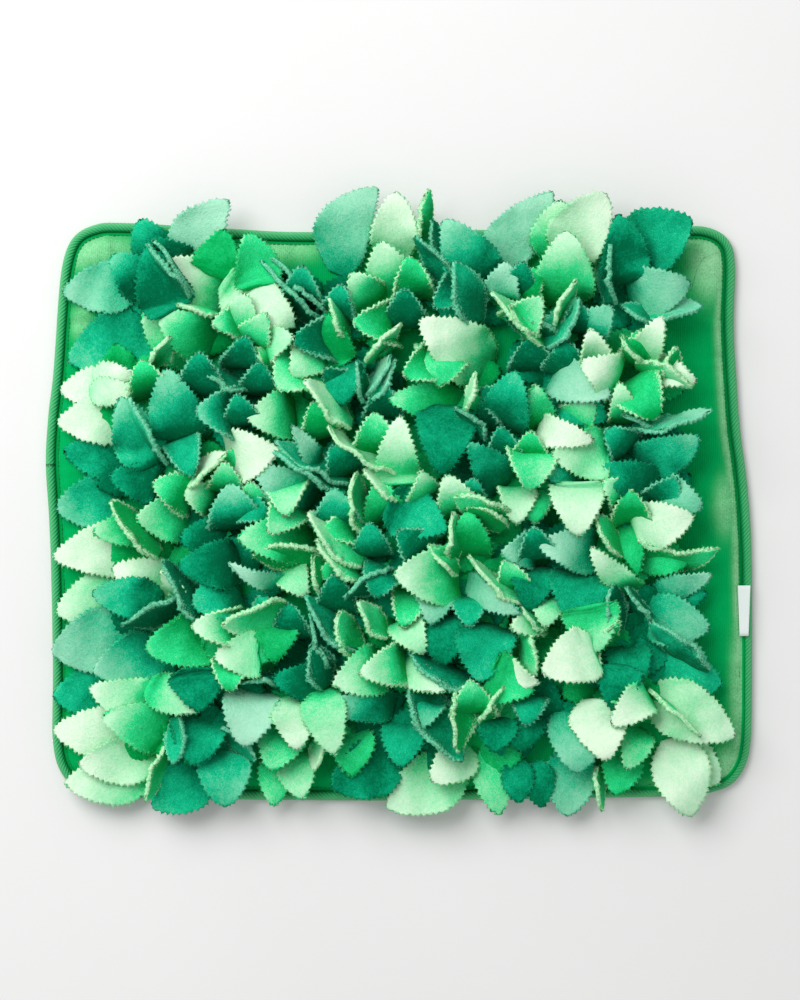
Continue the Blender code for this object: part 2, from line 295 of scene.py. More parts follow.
        (-14, -60, -22, -84, 52, 0, 10, 90),
    )),
    Tuft(35, Cloth.MINT, (
        (50, -64, -5, -64, 56, 0, 80, 118), (50, -62, 24, -39, 56, 50, 80, 62),
        (109, -89, 59, -48, 58, 70, 90, 60), (98, -80, 90, -51, 48, 0, 50, 85),
    )),
    Tuft(36, Cloth.TEAL, (
        (116, -44, 114, -23, 54, 0, 10, 95), (170, -44, 119, -38, 52, 0, 90, 90),
        (112, -42, 87, -46, 50, 0, 80, 80), (154, -60, 150, -107, 50, 0, 24, 115),
        (114, -58, 110, -95, 48, 0, 10, 90), (58, -66, 104, -97, 52, 20, 85, 48),
    )),
    Tuft(37, Cloth.MINT, (
        (200, -26, 252, -14, 48, 0, 96, 92), (204, -38, 273, -41, 46, 52, 62, 66, -22),
        (204, -44, 247, -54, 32, 0, 20, 85),
    )),
    Tuft(38, Cloth.TEAL, (
        (-202, -86, -264, -80, 32, 0, 50, 80), (-183, -88, -239, -107, 46, -60, 10, 90),
        (-226, -112, -298, -132, 19, 0, 85, 125), (-202, -128, -262, -148, 34, 0, 75, 105),
        (-238, -162, -297, -168, 14, 0, 30, 105),
    )),
    Tuft(39, Cloth.MINT, (
        (-158, -114, -218, -128, 48, 0, 40, 110), (-150, -142, -188, -147, 44, 0, 100, 62),
        (-138, -108, -179, -108, 54, 0, 75, 80), (-98, -92, -152, -107, 60, -40, 85, 88),
        (-120, -130, -159, -134, 50, 0, 80, 90), (-166, -112, -112, -138, 48, 0, 30, 85),
        (-144, -140, -146, -165, 48, 0, 25, 82), (-104, -98, -108, -139, 50, 0, 15, 90),
    )),
    Tuft(40, Cloth.TEAL, (
        (-108, -108, -122, -82, 50, 0, 30, 80), (-92, -118, -96, -88, 46, 0, 10, 85),
        (-37, -126, -80, -82, 52, 60, 50, 85), (-58, -134, -77, -97, 50, 60, 20, 80),
        (-60, -148, -109, -152, 50, -20, 10, 85), (-64, -160, -76, -124, 50, 40, 15, 85),
        (-58, -141, -73, -121, 46, 60, 40, 75), (-102, -156, -137, -156, 42, 72, 40, 62),
    )),
    Tuft(41, Cloth.MINT, (
        (-34, -132, -52, -96, 52, 45, 70, 90), (-11, -116, -36, -87, 54, 60, 80, 80),
        (10, -78, 2, -109, 50, 0, 30, 85), (4, -104, 20, -132, 50, 0, 68, 75),
        (-12, -140, -57, -159, 50, 0, 72, 95), (4, -138, -35, -149, 56, 0, 75, 82),
        (0, -142, 39, -164, 50, 0, 78, 58),
    )),
    Tuft(42, Cloth.TEAL, (
        (30, -82, 26, -107, 50, 0, 75, 80), (38, -94, 36, -141, 48, 0, 5, 105),
        (58, -84, 60, -109, 48, 0, 30, 85), (74, -106, 68, -156, 48, 0, 35, 112),
        (66, -156, 8, -131, 46, 60, 30, 85),
    )),
    Tuft(43, Cloth.MINT, (
        (112, -102, 95, -110, 50, 0, 80, 75), (126, -108, 104, -91, 50, 60, 80, 75),
        (126, -84, 124, -109, 50, 0, 60, 80), (160, -90, 168, -131, 50, 0, 55, 115),
        (172, -122, 188, -104, 54, 45, 70, 55), (106, -112, 116, -151, 46, 60, 50, 80),
    )),
    Tuft(44, Cloth.TEAL, (
        (216, -78, 267, -64, 36, 20, 85, 52), (232, -86, 263, -80, 28, 0, 20, 58),
        (208, -98, 265, -110, 36, 0, 65, 98), (216, -101, 194, -74, 48, 74, 30, 70),
        (262, -147, 215, -104, 42, -62, 50, 80), (188, -112, 183, -72, 46, 55, 10, 85),
        (230, -124, 263, -142, 26, 0, 80, 75),
    )),
    Tuft(45, Cloth.MINT, (
        (-192, -170, -266, -161, 36, 0, 80, 92, 8), (-214, -156, -172, -181, 44, 0, 70, 75),
        (-196, -206, -254, -184, 36, 0, 72, 92, -6), (-214, -203, -297, -197, 17, 0, 100, 108),
    )),
    Tuft(46, Cloth.TEAL, (
        (-172, -142, -172, -181, 48, 0, 8, 115), (-170, -182, -176, -227, 38, 0, 18, 118),
        (-192, -186, -193, -226, 42, 45, 25, 68), (-124, -164, -134, -211, 48, 0, 100, 110),
        (-154, -198, -124, -223, 38, 60, 40, 80),
    )),
    Tuft(47, Cloth.MINT, (
        (-90, -168, -88, -214, 48, 0, 90, 90), (-68, -162, -56, -219, 50, 0, 75, 84),
        (-96, -190, -112, -231, 38, 0, 45, 100), (-106, -216, -108, -262, 21, 0, 55, 76),
        (-92, -216, -84, -256, 30, 0, 68, 85), (-72, -206, -74, -231, 36, 60, 80, 75),
        (-40, -192, -42, -236, 32, 0, 25, 95),
    )),
    Tuft(48, Cloth.TEAL, (
        (-4, -176, -62, -178, 46, -14, 72, 72, -8), (4, -188, 0, -229, 40, 0, 28, 92),
        (14, -158, 53, -224, 46, -36, 30, 100), (22, -176, 14, -197, 46, 0, 55, 75),
    )),
    Tuft(49, Cloth.MINT, (
        (54, -160, 50, -216, 50, -50, 30, 90), (70, -190, 89, -160, 48, 60, 80, 75),
        (62, -180, 60, -154, 54, 0, 50, 92), (76, -148, 115, -163, 48, 0, 30, 100),
        (88, -131, 119, -157, 52, 35, 100, 68),
    )),
    Tuft(50, Cloth.TEAL, (
        (110, -168, 108, -194, 46, 0, 22, 80), (104, -184, 104, -215, 36, 0, 5, 108),
        (100, -222, 102, -259, 25, 0, 20, 80), (116, -224, 122, -263, 21, 0, 10, 80),
        (150, -176, 152, -234, 36, 0, 72, 108), (84, -186, 80, -216, 38, 0, 5, 95),
        (148, -214, 143, -271, 20, 0, 78, 108),
    )),
    Tuft(51, Cloth.MINT, (
        (164, -126, 122, -148, 52, 0, 100, 108), (160, -138, 171, -153, 48, 0, 70, 75),
        (166, -170, 177, -223, 46, 0, 100, 110), (210, -164, 182, -193, 48, 0, 95, 72),
    )),
    Tuft(52, Cloth.TEAL, (
        (212, -144, 276, -157, 28, 0, 40, 105), (194, -124, 198, -164, 44, 0, 10, 90),
        (186, -140, 184, -181, 44, 0, 10, 90),
    )),
    Tuft(53, Cloth.MINT, (
        (-208, -220, -275, -227, 26, 0, 95, 95), (-212, -236, -287, -243, 15, 0, 88, 98),
        (-200, -212, -218, -258, 34, -64, 80, 62),
    )),
    Tuft(54, Cloth.TEAL, (
        (-164, -230, -212, -264, 21, 0, 40, 108), (-150, -212, -150, -263, 28, 0, 58, 110),
    )),
    Tuft(55, Cloth.TEAL, (
        (-4, -218, -58, -247, 30, 0, 12, 115),
    )),
    Tuft(56, Cloth.MINT, (
        (54, -226, -11, -264, 25, 0, 85, 118), (60, -212, 27, -241, 36, 0, 95, 92),
        (76, -212, 85, -270, 23, 0, 68, 78),
    )),
    Tuft(57, Cloth.MINT, (
        (206, -196, 194, -231, 38, 0, 65, 72), (194, -212, 184, -253, 28, 0, 30, 92),
        (170, -228, 174, -266, 25, -70, 85, 66), (212, -164, 287, -203, 30, 0, 90, 110),
        (213, -163, 258, -203, 42, 84, 85, 60), (234, -204, 250, -271, 22, 0, 100, 110),
        (238, -210, 274, -243, 16, 0, 90, 90),
    )),
    Tuft(58, Cloth.TEAL, (
        (166, 24, 121, 26, 46, 0, 50, 95),
    )),
)


# Outer edge of the piping, once round from the lower right, in plan.
EDGE_POINTS: tuple[tuple[float, float], ...] = (
    (300, -205), (301, -150), (301, -60), (299, -10), (295, 30), (291, 60), (288, 100),
    (285.5, 150), (286.5, 202), (280.5, 223), (262, 233.5), (232, 234), (160, 232), (60, 231),
    (-40, 229.5), (-100, 229.5), (-145, 232), (-235, 237), (-262, 235), (-280, 224), (-289, 200),
    (-293, 160), (-296.5, 110), (-301, 70), (-303, 32), (-300, -20), (-298, -80), (-297, -150),
    (-297, -205), (-290, -233), (-271, -250), (-240, -254.5), (-190, -255.5), (-110, -256.5),
    (0, -257), (150, -255), (210, -254), (250, -252.5), (279, -246), (294, -230),
)


def smooth_curve(knots: Sequence[Sequence[float]], steps: int, closed: bool) -> Array:
    """A Catmull-Rom curve through the knots.

    Args:
        knots: The points to pass through.
        steps: Points made from each knot to the next.
        closed: Whether the last knot joins the first.

    Returns:
        The points of the curve, one row each.
    """
    points = np.asarray(knots, dtype=float)
    if closed:
        padded = np.vstack([points[-1], points, points[:2]])
    else:
        padded = np.vstack([2 * points[0] - points[1], points, 2 * points[-1] - points[-2]])
    run = np.linspace(0.0, 1.0, steps, endpoint=False)[:, None]
    made = []
    for index in range(len(padded) - 3):
        a, b, c, d = padded[index:index + 4]
        made.append(0.5 * (2 * b + (c - a) * run + (2 * a - 5 * b + 4 * c - d) * run ** 2
                           + (3 * b - a - 3 * c + d) * run ** 3))
    if not closed:
        made.append(points[-1:])
    return np.vstack(made)


def unit(vectors: Array) -> Array:
    """The vectors of the last axis, each made one long."""
    return vectors / np.maximum(np.linalg.norm(vectors, axis=-1, keepdims=True), TINY)


def run_along(points: Array) -> Array:
    """How far along a line each of its points lies."""
    steps = np.linalg.norm(np.diff(points, axis=0), axis=1)
    return np.concatenate([[0.0], np.cumsum(steps)])


def points_at(places: Array, run: Array, line: Array) -> Array:
    """The points of a flat line at places along it, given how far along its own points lie."""
    return np.stack([np.interp(places, run, line[:, axis]) for axis in range(2)], axis=1)


def even_loop(loop: Array, pitch: float) -> Array:
    """A closed loop with its points spread evenly.

    Args:
        loop: The points of the loop.
        pitch: Wanted distance from point to point.

    Returns:
        The new points, one row each.
    """
    ring = np.vstack([loop, loop[:1]])
    run = run_along(ring)
    count = int(round(run[-1] / pitch))
    return points_at(np.linspace(0.0, run[-1], count, endpoint=False), run, ring)


def loop_normals(loop: Array) -> Array:
    """Unit vectors that point into a loop which runs anticlockwise."""
    along = unit(np.roll(loop, -1, axis=0) - np.roll(loop, 1, axis=0))
    return np.stack([-along[:, 1], along[:, 0]], axis=1)


def inset(loop: Array, distance: float) -> Array:
    """Moves a loop inwards, smoothed a little more the farther it goes.

    Args:
        loop: The points of the loop, anticlockwise.
        distance: How far it moves.

    Returns:
        The moved points.
    """
    moved = loop + loop_normals(loop) * distance
    for _ in range(int(distance / SMOOTH_EVERY)):
        moved = 0.5 * moved + 0.25 * (np.roll(moved, 1, axis=0) + np.roll(moved, -1, axis=0))
    return moved


def neighbours(grid: Array) -> Array:
    """The sum of the four values round each one, where an edge value is its own neighbour."""
    wide = np.pad(grid, 1, mode="edge")
    return wide[:-2, 1:-1] + wide[2:, 1:-1] + wide[1:-1, :-2] + wide[1:-1, 2:]


def sheet_normals(sheet: Array) -> Array:
    """Directions square to a sheet of rows by columns by (x, y, z)."""
    return unit(np.cross(np.gradient(sheet, axis=0), np.gradient(sheet, axis=1)))


@dataclass
class MeshBuffer:
    """Vertices, faces and per-vertex values of a mesh in the making, in mm."""

    points: list[Array] = field(default_factory=list)
    quads: list[Array] = field(default_factory=list)
    values: dict[str, list[Array]] = field(default_factory=dict)
    uvs: list[Array] = field(default_factory=list)
    size: int = 0

    def add(self, points: Array, quads: Array, uv: Array, **values: Array) -> None:
        """Adds one closed shell.

        Args:
            points: Its vertices, in mm.
            quads: Its faces, as rows of four vertex numbers.
            uv: A flat place for each vertex, in mm.
            values: Named numbers, one for each vertex.
        """
        self.points.append(points)
        self.quads.append(quads + self.size)
        self.uvs.append(uv)
        for name, value in values.items():
            self.values.setdefault(name, []).append(value)
        self.size += len(points)

    def build(self, name: str, material: bpy.types.Material) -> bpy.types.Object:
        """Makes the mesh object.

        Args:
            name: The name of the piece.
            material: Its material.

        Returns:
            The object, linked to the scene with smooth faces.
        """
        mesh = bpy.data.meshes.new(name)
        quads = np.vstack(self.quads)
        mesh.from_pydata((np.vstack(self.points) * MM).tolist(), [], quads.tolist())
        mesh.update()
        corners = np.empty(len(mesh.loops), dtype=np.int64)
        mesh.loops.foreach_get("vertex_index", corners)
        layer = mesh.uv_layers.new(name="cut")
        layer.data.foreach_set("uv", np.vstack(self.uvs)[corners].ravel())
        for key, rows in self.values.items():
            attribute = mesh.attributes.new(key, "FLOAT", "POINT")
            attribute.data.foreach_set("value", np.concatenate(rows))
        mesh.polygons.foreach_set("use_smooth", [True] * len(mesh.polygons))
        mesh.materials.append(material)
        return place_in_scene(name, mesh)


def place_in_scene(name: str, data: bpy.types.ID) -> bpy.types.Object:
    """Links a new object to the scene.

    Args:
        name: Its name.
        data: Its mesh, lamp or camera.

    Returns:
        The object.
    """
    item = bpy.data.objects.new(name, data)
    bpy.context.scene.collection.objects.link(item)
    return item


def slab_edge(rows: int, columns: int) -> Array:
    """Vertex numbers round the edge of a grid, anticlockwise seen from its upper side."""
    grid = np.arange(rows * columns).reshape(rows, columns)
    return np.concatenate([grid[:-1, 0], grid[-1, :-1], grid[:0:-1, -1], grid[0, :0:-1]])


def slab_quads(rows: int, columns: int) -> Array:
    """Faces of a closed slab: a grid above, the same grid below and one ring between them.

    Args:
        rows: Points along the slab.
        columns: Points across it.

    Returns:
        Rows of four vertex numbers, counting the upper grid, the lower grid, then the ring.
    """
    below = rows * columns
    grid = np.arange(below).reshape(rows, columns)
    upper = np.stack([grid[:-1, :-1], grid[1:, :-1], grid[1:, 1:], grid[:-1, 1:]], axis=-1)
    upper = upper.reshape(-1, 4)
    lower = upper[:, ::-1] + below
    edge = slab_edge(rows, columns)
    ring = np.arange(len(edge)) + 2 * below
    after, ring_after = np.roll(edge, -1), np.roll(ring, -1)
    wall_up = np.stack([after, edge, ring, ring_after], axis=-1)
    wall_down = np.stack([ring_after, ring, edge + below, after + below], axis=-1)
    return np.vstack([upper, lower, wall_up, wall_down])


def slab_points(sheet: Array, normal: Array, thickness: float, rounding: float,
                shift: Array | float = 0.0) -> Array:
    """Vertices of a closed slab of cloth, in the order of slab_quads.

    Args:
        sheet: Rows by columns by (x, y, z) of the middle of the cloth.
        normal: The directions square to it.
        thickness: How thick the cloth is.
        rounding: How far its edge stands out past the sheet.
        shift: How far each point of the edge lies off the middle, towards the upper side.

    Returns:
        The upper grid, the lower grid, then the ring between them.
    """
    edge = slab_edge(*sheet.shape[:2])
    columns = sheet.shape[1]
    centre = sheet[:, columns // 2 - 1:columns // 2 + 1].mean(axis=1)
    rim = sheet.reshape(-1, 3)[edge]
    ring = rim + rounding * unit(rim - centre[edge // columns])
    ring = ring + np.reshape(shift, (-1, 1)) * normal.reshape(-1, 3)[edge]
    upper, lower = sheet + 0.5 * thickness * normal, sheet - 0.5 * thickness * normal
    return np.vstack([upper.reshape(-1, 3), lower.reshape(-1, 3), ring])


def hanging_curve(arch: float, hook: float) -> tuple[Array, Array, Array]:
    """A curve one long that arches up from its chord, and hooks over at its end.

    Args:
        arch: How far its start is turned up from its chord, in radians.
        hook: How much more its last third turns over, in radians.

    Returns:
        Places along it from 0 to 1, its points as complex numbers with the chord on the real
        axis, and the angle of its direction at each.
    """
    steps = np.linspace(0.0, 1.0, CURVE_POINTS)
    turn = arch * (1 - 2 * steps) - hook * steps ** 4
    way = np.exp(1j * turn)
    path = np.concatenate([[0.0], np.cumsum(0.5 * (way[1:] + way[:-1])) * (steps[1] - steps[0])])
    tilt = np.angle(path[-1])
    return steps, path * np.exp(-1j * tilt), turn - tilt


class Links:
    """Adds nodes to a tree and joins their sockets."""

    def __init__(self, tree: bpy.types.NodeTree) -> None:
        """Keeps the tree that the nodes go into."""
        self.tree = tree

    def join(self, source: Socket, target: Socket) -> None:
        """Joins an output to an input."""
        self.tree.links.new(source, target)

    def node(self, kind: str, inputs: dict[str | int, object] | None = None,
             **settings: object) -> bpy.types.Node:
        """Adds one node.

        Args:
            kind: Its type, such as ShaderNodeMix.
            inputs: Values or sockets for its inputs, by name or number.
            settings: Its own properties.

        Returns:
            The node.
        """
        made = self.tree.nodes.new(kind)
        for key, value in settings.items():
            setattr(made, key, value)
        for key, value in (inputs or {}).items():
            if isinstance(value, Socket):
                self.join(value, made.inputs[key])
            else:
                made.inputs[key].default_value = value
        return made

    def maths(self, operation: str, *values: object, clamp: bool = False) -> Socket:
        """The result of a Math node on values or sockets."""
        numbered = dict(enumerate(values))
        return self.node("ShaderNodeMath", numbered, operation=operation,
                         use_clamp=clamp).outputs[0]

    def weighted(self, *parts: tuple[Socket, float], clamp: bool = False) -> Socket:
        """The sum of sockets, each times its weight.

        Args:
            parts: Each socket with its weight.
            clamp: Whether the sum is held from 0 to 1.

        Returns:
            The sum.
        """
        first = self.maths("MULTIPLY", *parts[0])
        if len(parts) == 1:
            return first
        return self.maths("ADD", first, self.weighted(*parts[1:]), clamp=clamp)

    def ribs(self, phase: Socket) -> Socket:
        """A height from 0 to 1 that rises and falls with a phase."""
        return self.maths("ADD", self.maths("MULTIPLY", self.maths("SINE", phase), 0.5), 0.5)

    def ramp(self, value: Socket, start: float, end: float, first: float = 0.0,
             last: float = 1.0) -> Socket:
        """A value that runs from first to last while another goes from start to end."""
        return self.node("ShaderNodeMapRange", {
            "Value": value, "From Min": start, "From Max": end, "To Min": first, "To Max": last},
            clamp=True).outputs[0]

    def blend(self, share: object, first: object, second: object) -> Socket:
        """A colour between two, by a share from 0 to 1."""
        made = self.node("ShaderNodeMix", {0: share, 6: first, 7: second}, data_type="RGBA")
        return made.outputs[2]

    def noise(self, vector: Socket, scale: object, detail: float = 2.0) -> Socket:
        """A noise value over a vector."""
        return self.node("ShaderNodeTexNoise", {"Vector": vector, "Scale": scale,
                                                "Detail": detail}).outputs["Fac"]

    def attribute(self, name: str) -> Socket:
        """A number that the mesh holds at each vertex, in a material."""
        return self.node("ShaderNodeAttribute", attribute_name=name).outputs["Fac"]

    def named(self, name: str, kind: str) -> Socket:
        """A value that the mesh holds at each vertex, in a Geometry Nodes tree."""
        return self.node("GeometryNodeInputNamedAttribute", {"Name": name},
                         data_type=kind).outputs["Attribute"]

    def dressed(self, instances: Socket, material: Socket) -> Socket:
        """Instances made real, in their material."""
        real = self.node("GeometryNodeRealizeInstances", {0: instances}).outputs[0]
        return self.node("GeometryNodeSetMaterial",
                         {"Geometry": real, "Material": material}).outputs[0]


class Recipe(NamedTuple):
    """A Geometry Nodes tree, and the identifier of each of its named inputs."""

    tree: bpy.types.NodeTree
    identifiers: dict[str, str]

    @classmethod
    def start(cls, name: str, sockets: Iterable[tuple[str, str]]) -> tuple[
            "Recipe", Links, bpy.types.NodeOutputs, bpy.types.NodeInputs]:
        """Starts a tree that takes a mesh and gives one back.

        Args:
            name: Its name.
            sockets: Name and socket type of each other input.

        Returns:
            The recipe, its links helper, what it is given and what it gives back.
        """
        tree = bpy.data.node_groups.new(name, "GeometryNodeTree")
        face = tree.interface
        face.new_socket("Geometry", in_out="INPUT", socket_type="NodeSocketGeometry")
        identifiers = {label: face.new_socket(label, in_out="INPUT", socket_type=kind).identifier
                       for label, kind in sockets}
        face.new_socket("Geometry", in_out="OUTPUT", socket_type="NodeSocketGeometry")
        links = Links(tree)
        source, sink = links.node("NodeGroupInput"), links.node("NodeGroupOutput")
        return cls(tree, identifiers), links, source.outputs, sink.inputs

    def bake(self, piece: bpy.types.Object, values: dict[str, object]) -> None:
        """Runs the tree on a piece and makes the result its mesh.

        Args:
            piece: The piece.
            values: What each input is set to, by its name.
        """
        modifier = piece.modifiers.new(self.tree.name, "NODES")
        modifier.node_group = self.tree
        for label, value in values.items():
            modifier[self.identifiers[label]] = value
        piece.update_tag()
        graph = bpy.context.evaluated_depsgraph_get()
        graph.update()
        made = bpy.data.meshes.new_from_object(piece.evaluated_get(graph),
                                               preserve_all_data_layers=True, depsgraph=graph)
        piece.modifiers.remove(modifier)
        old = piece.data
        piece.data = made
        bpy.data.meshes.remove(old)


def rgba(colour: Colour) -> tuple[float, float, float, float]:
    """A colour with full alpha."""
    return (*colour, 1.0)


def start_material(name: str, inputs: dict[str, object]) -> tuple[bpy.types.Material, Links,
                                                                   bpy.types.Node]:
    """Starts a material.

    Args:
        name: Its name.
        inputs: What the inputs of its Principled shader are set to, by name.

    Returns:
        The material, its links helper and its Principled shader.
    """
    material = bpy.data.materials.new(name)
    material.use_nodes = True
    shader = material.node_tree.nodes["Principled BSDF"]
    for label, value in inputs.items():
        shader.inputs[label].default_value = value
    return material, Links(material.node_tree), shader


@dataclass
class LeafPattern:
    """The pinked leaf as it is cut, and how it bends. Lengths in mm, angles in radians."""

    usual_length: float = 62.0
    half_width: float = 22.5
    thickness: float = 2.4
    edge_thickness: float = 3.6
    seam_height: float = 15.5
    profile_steps: int = 8
    tooth_pitch: float = 4.6
    edge_over_length: float = 1.12
    tooth_wander: float = 0.25
    tooth_sizes: Span = (0.5, 1.5)
    first_teeth: tuple[float, ...] = (0.0, 0.3, 0.7)
    bite_from: float = 0.8
    bite_over: float = 0.2
    tooth_depth: float = 2.2
    edge_tooth_depth: float = 1.8
    tooth_lean: float = 0.35
    edge_tooth_lean: float = 1.3
    lean_from: float = 0.85
    cup: float = 0.012
    standing_cup: float = 0.028
    cup_spread: Span = (-0.8, 1.3)
    least_cup: float = 1e-4
    most_arch: float = 1.15
    edge_arch: float = 0.3
    droop: Span = (-0.05, 0.25)
    most_hook: float = 0.5
    ruffle: float = 2.6
    ruffle_sizes: Span = (0.5, 1.0)
    ruffle_waves: Span = (5.0, 9.0)
    ruffle_offsets: Span = (1.0, 5.0)
    buckle: float = 0.9
    buckle_waves: Span = (4.0, 9.0)
    buckle_cross_waves: Span = (5.0, 10.0)
    twist: float = 0.35
    twist_from: float = 0.3
    columns: tuple[float, ...] = (-1.0, -0.89, -0.6, -0.22, 0.22, 0.6, 0.89, 1.0)
    widths: tuple[Span, ...] = (
        (0.0, 0.40), (0.1, 0.66), (0.22, 0.89), (0.34, 1.0), (0.46, 0.99), (0.58, 0.89),
        (0.7, 0.75), (0.82, 0.53), (0.92, 0.30), (1.0, 0.02),
    )

    def flat(self, length: float, half: float, depth: float, rng: Rng) -> Array:
        """The cut leaf lying flat, with its teeth.

        Args:
            length: From the seam to the tip.
            half: Half of its greatest width.
            depth: How deep its teeth are cut.
            rng: Source of the unevenness of its teeth.

        Returns:
            Rows along by columns across by (along, across).
        """
        profile = smooth_curve(self.widths, self.profile_steps, closed=False) * (length, half)
        run = run_along(profile)
        teeth = int(round(self.edge_over_length * length / self.tooth_pitch))
        places = np.linspace(0.0, run[-1], 2 * teeth + 1)
        wander = rng.uniform(-self.tooth_wander, self.tooth_wander, len(places) - 2)
        places[1:-1] += wander * (places[1] - places[0])
        edge = points_at(places, run, profile)
        along = unit(np.gradient(edge, axis=0))
        outward = np.stack([-along[:, 1], along[:, 0]], axis=1)
        tooth = np.where(np.arange(len(edge)) % 2, 0.5, -0.5) * depth
        tooth *= rng.uniform(*self.tooth_sizes, len(edge))
        tooth[:len(self.first_teeth)] *= self.first_teeth
        toothed = edge + outward * tooth[:, None]
        columns = np.asarray(self.columns)
        bite = np.clip((np.abs(columns) - self.bite_from) / self.bite_over, 0.0, 1.0)
        bite = bite[None, :, None]
        line = edge[:, None, :] * (1 - bite) + toothed[:, None, :] * bite
        return np.stack([line[..., 0], line[..., 1] * columns[None, :]], axis=-1)

    def ruffles(self, along: Array, width: Array, half: float, lean: float, rng: Rng) -> Array:
        """How far each point of a leaf waves off its smooth bend.

        Args:
            along: How far each point lies from the seam.
            width: How far it lies from the middle line.
            half: Half of the leaf's greatest width.
            lean: How far its teeth lean out of the cloth.
            rng: Source of its waves.

        Returns:
            A height for each point.
        """
        reach = np.abs(width) / half
        wave = rng.uniform(*self.ruffle_sizes) * self.ruffle * reach ** 2 * np.sin(
            along / rng.uniform(*self.ruffle_waves) + rng.uniform(*ANY_PHASE)
            + (width > 0) * rng.uniform(*self.ruffle_offsets))
        wave = wave + self.buckle * np.sin(
            along / rng.uniform(*self.buckle_waves) + rng.uniform(*ANY_PHASE)) * (
            np.cos(width / rng.uniform(*self.buckle_cross_waves) + rng.uniform(*ANY_PHASE)))
        leans = rng.uniform(-1.0, 1.0, (len(width) + 1, width.shape[1], 1))
        return wave + lean * (leans[1:] + leans[:-1]) * (reach > self.lean_from)


@dataclass
class Heap:
    """How high the laid leaves already stand, on a grid of cells. Lengths in mm."""

    reach: float = 340.0
    cell: float = 2.0
    gap: float = 0.5
    spread_passes: int = 24
    smooth_passes: int = 18
    fine_steps: int = 6
    top: Array = field(init=False)

    def __post_init__(self) -> None:
        """Starts with an empty floor."""
        count = int(2 * self.reach / self.cell)
        self.top = np.zeros((count, count))

    def cells(self, points: Array) -> tuple[Array, Array]:
        """Row and column of the cell under each point."""
        index = ((points[..., :2] + self.reach) / self.cell).astype(int)
        return tuple(np.moveaxis(np.clip(index, 0, len(self.top) - 1), -1, 0))

    def cover(self, points: Array, height: float) -> None:
        """Marks the cells under the points as filled up to them, plus a height."""
        np.maximum.at(self.top, self.cells(points), points[..., 2] + height)

    def lay(self, sheet: Array, half_thickness: float) -> Array:
        """Lifts a sheet off whatever it would sink into, and smooths the lift.

        Args:
            sheet: Rows by columns by (x, y, z) of the middle of the cloth.
            half_thickness: Half the thickness of the cloth.

        Returns:
            The lifted sheet.
        """
        need = self.top[self.cells(sheet)] + half_thickness + self.gap - sheet[..., 2]
        need = np.maximum(need, 0.0)
        lift = need.copy()
        for _ in range(self.spread_passes):
            lift = np.maximum(0.25 * neighbours(lift), need)
        for _ in range(self.smooth_passes):
            lift = 0.5 * lift + 0.125 * neighbours(lift)
        laid = sheet.copy()
        laid[..., 2] += lift
        return laid

    def remember(self, sheet: Array, half_thickness: float) -> None:
        """Adds a laid sheet to the heap, finely enough to leave no gaps between its points.

        Args:
            sheet: Rows by columns by (x, y, z) of the middle of the cloth.
            half_thickness: Half the thickness of the cloth.
        """
        share = np.linspace(0.0, 1.0, self.fine_steps)[:, None]
        rows = np.concatenate([sheet, 0.5 * (sheet[:-1] + sheet[1:])])
        fine = rows[:, :-1, None, :] * (1 - share) + rows[:, 1:, None, :] * share
        self.cover(fine.reshape(-1, 3), half_thickness)


@dataclass
class EdgeFuzz:
    """Short loose fibres along the cut edges, scattered by Geometry Nodes. Lengths in mm."""

    density: float = 0.57
    length: float = 2.0
    radius: float = 0.17
    edge_from: float = 0.75
    sides: int = 3
    tilt: tuple[float, float, float] = (0.9, 0.9, 3.1)
    sizes: Span = (0.5, 1.2)

    def recipe(self) -> Recipe:
        """Builds the tree that adds fibres to a mesh where its fray value is high.

        Returns:
            The tree and its named inputs.
        """
        recipe, links, given, result = Recipe.start("Edge fuzz", (
            ("Density", "NodeSocketFloat"), ("Length", "NodeSocketFloat"),
            ("Radius", "NodeSocketFloat"), ("Edge From", "NodeSocketFloat"),
            ("Seed", "NodeSocketInt"), ("Material", "NodeSocketMaterial")))
        near = links.node("FunctionNodeCompare", {
            0: links.named("fray", "FLOAT"), 1: given["Edge From"]},
            data_type="FLOAT", operation="GREATER_THAN").outputs[0]
        spots = links.node("GeometryNodeDistributePointsOnFaces", {
            "Mesh": given["Geometry"], "Selection": near, "Density": given["Density"],
            "Seed": given["Seed"]})
        tilt = links.node("FunctionNodeRandomValue", {
            "Min": tuple(-angle for angle in self.tilt), "Max": self.tilt,
            "Seed": given["Seed"]}, data_type="FLOAT_VECTOR").outputs[0]
        turned = links.node("FunctionNodeRotateEuler", {
            "Rotation": spots.outputs["Rotation"], "Rotate By": tilt}, space="LOCAL").outputs[0]
        fibre = links.node("GeometryNodeMeshCone", {
            "Vertices": self.sides, "Radius Top": 0.0, "Radius Bottom": given["Radius"],
            "Depth": given["Length"]}, fill_type="NGON").outputs["Mesh"]
        size = links.node("FunctionNodeRandomValue", {
            2: self.sizes[0], 3: self.sizes[1], "Seed": given["Seed"]},
            data_type="FLOAT").outputs[1]
        placed = links.node("GeometryNodeInstanceOnPoints", {
            "Points": spots.outputs["Points"], "Instance": fibre, "Rotation": turned,
            "Scale": size}).outputs[0]
        both = links.node("GeometryNodeJoinGeometry")
        links.join(given["Geometry"], both.inputs[0])
        links.join(links.dressed(placed, given["Material"]), both.inputs[0])
        links.join(both.outputs[0], result[0])
        return recipe

    def grow(self, piece: bpy.types.Object, recipe: Recipe, material: bpy.types.Material,
             seed: int) -> None:
        """Adds the fibres to a piece.

        Args:
            piece: The piece, with its fray attribute.
            recipe: The tree from recipe().
            material: The finish of the fibres.
            seed: Seed of their scatter.
        """
        recipe.bake(piece, {
            "Density": self.density / MM ** 2, "Length": self.length * MM,
            "Radius": self.radius * MM, "Edge From": self.edge_from, "Seed": seed,
            "Material": material})


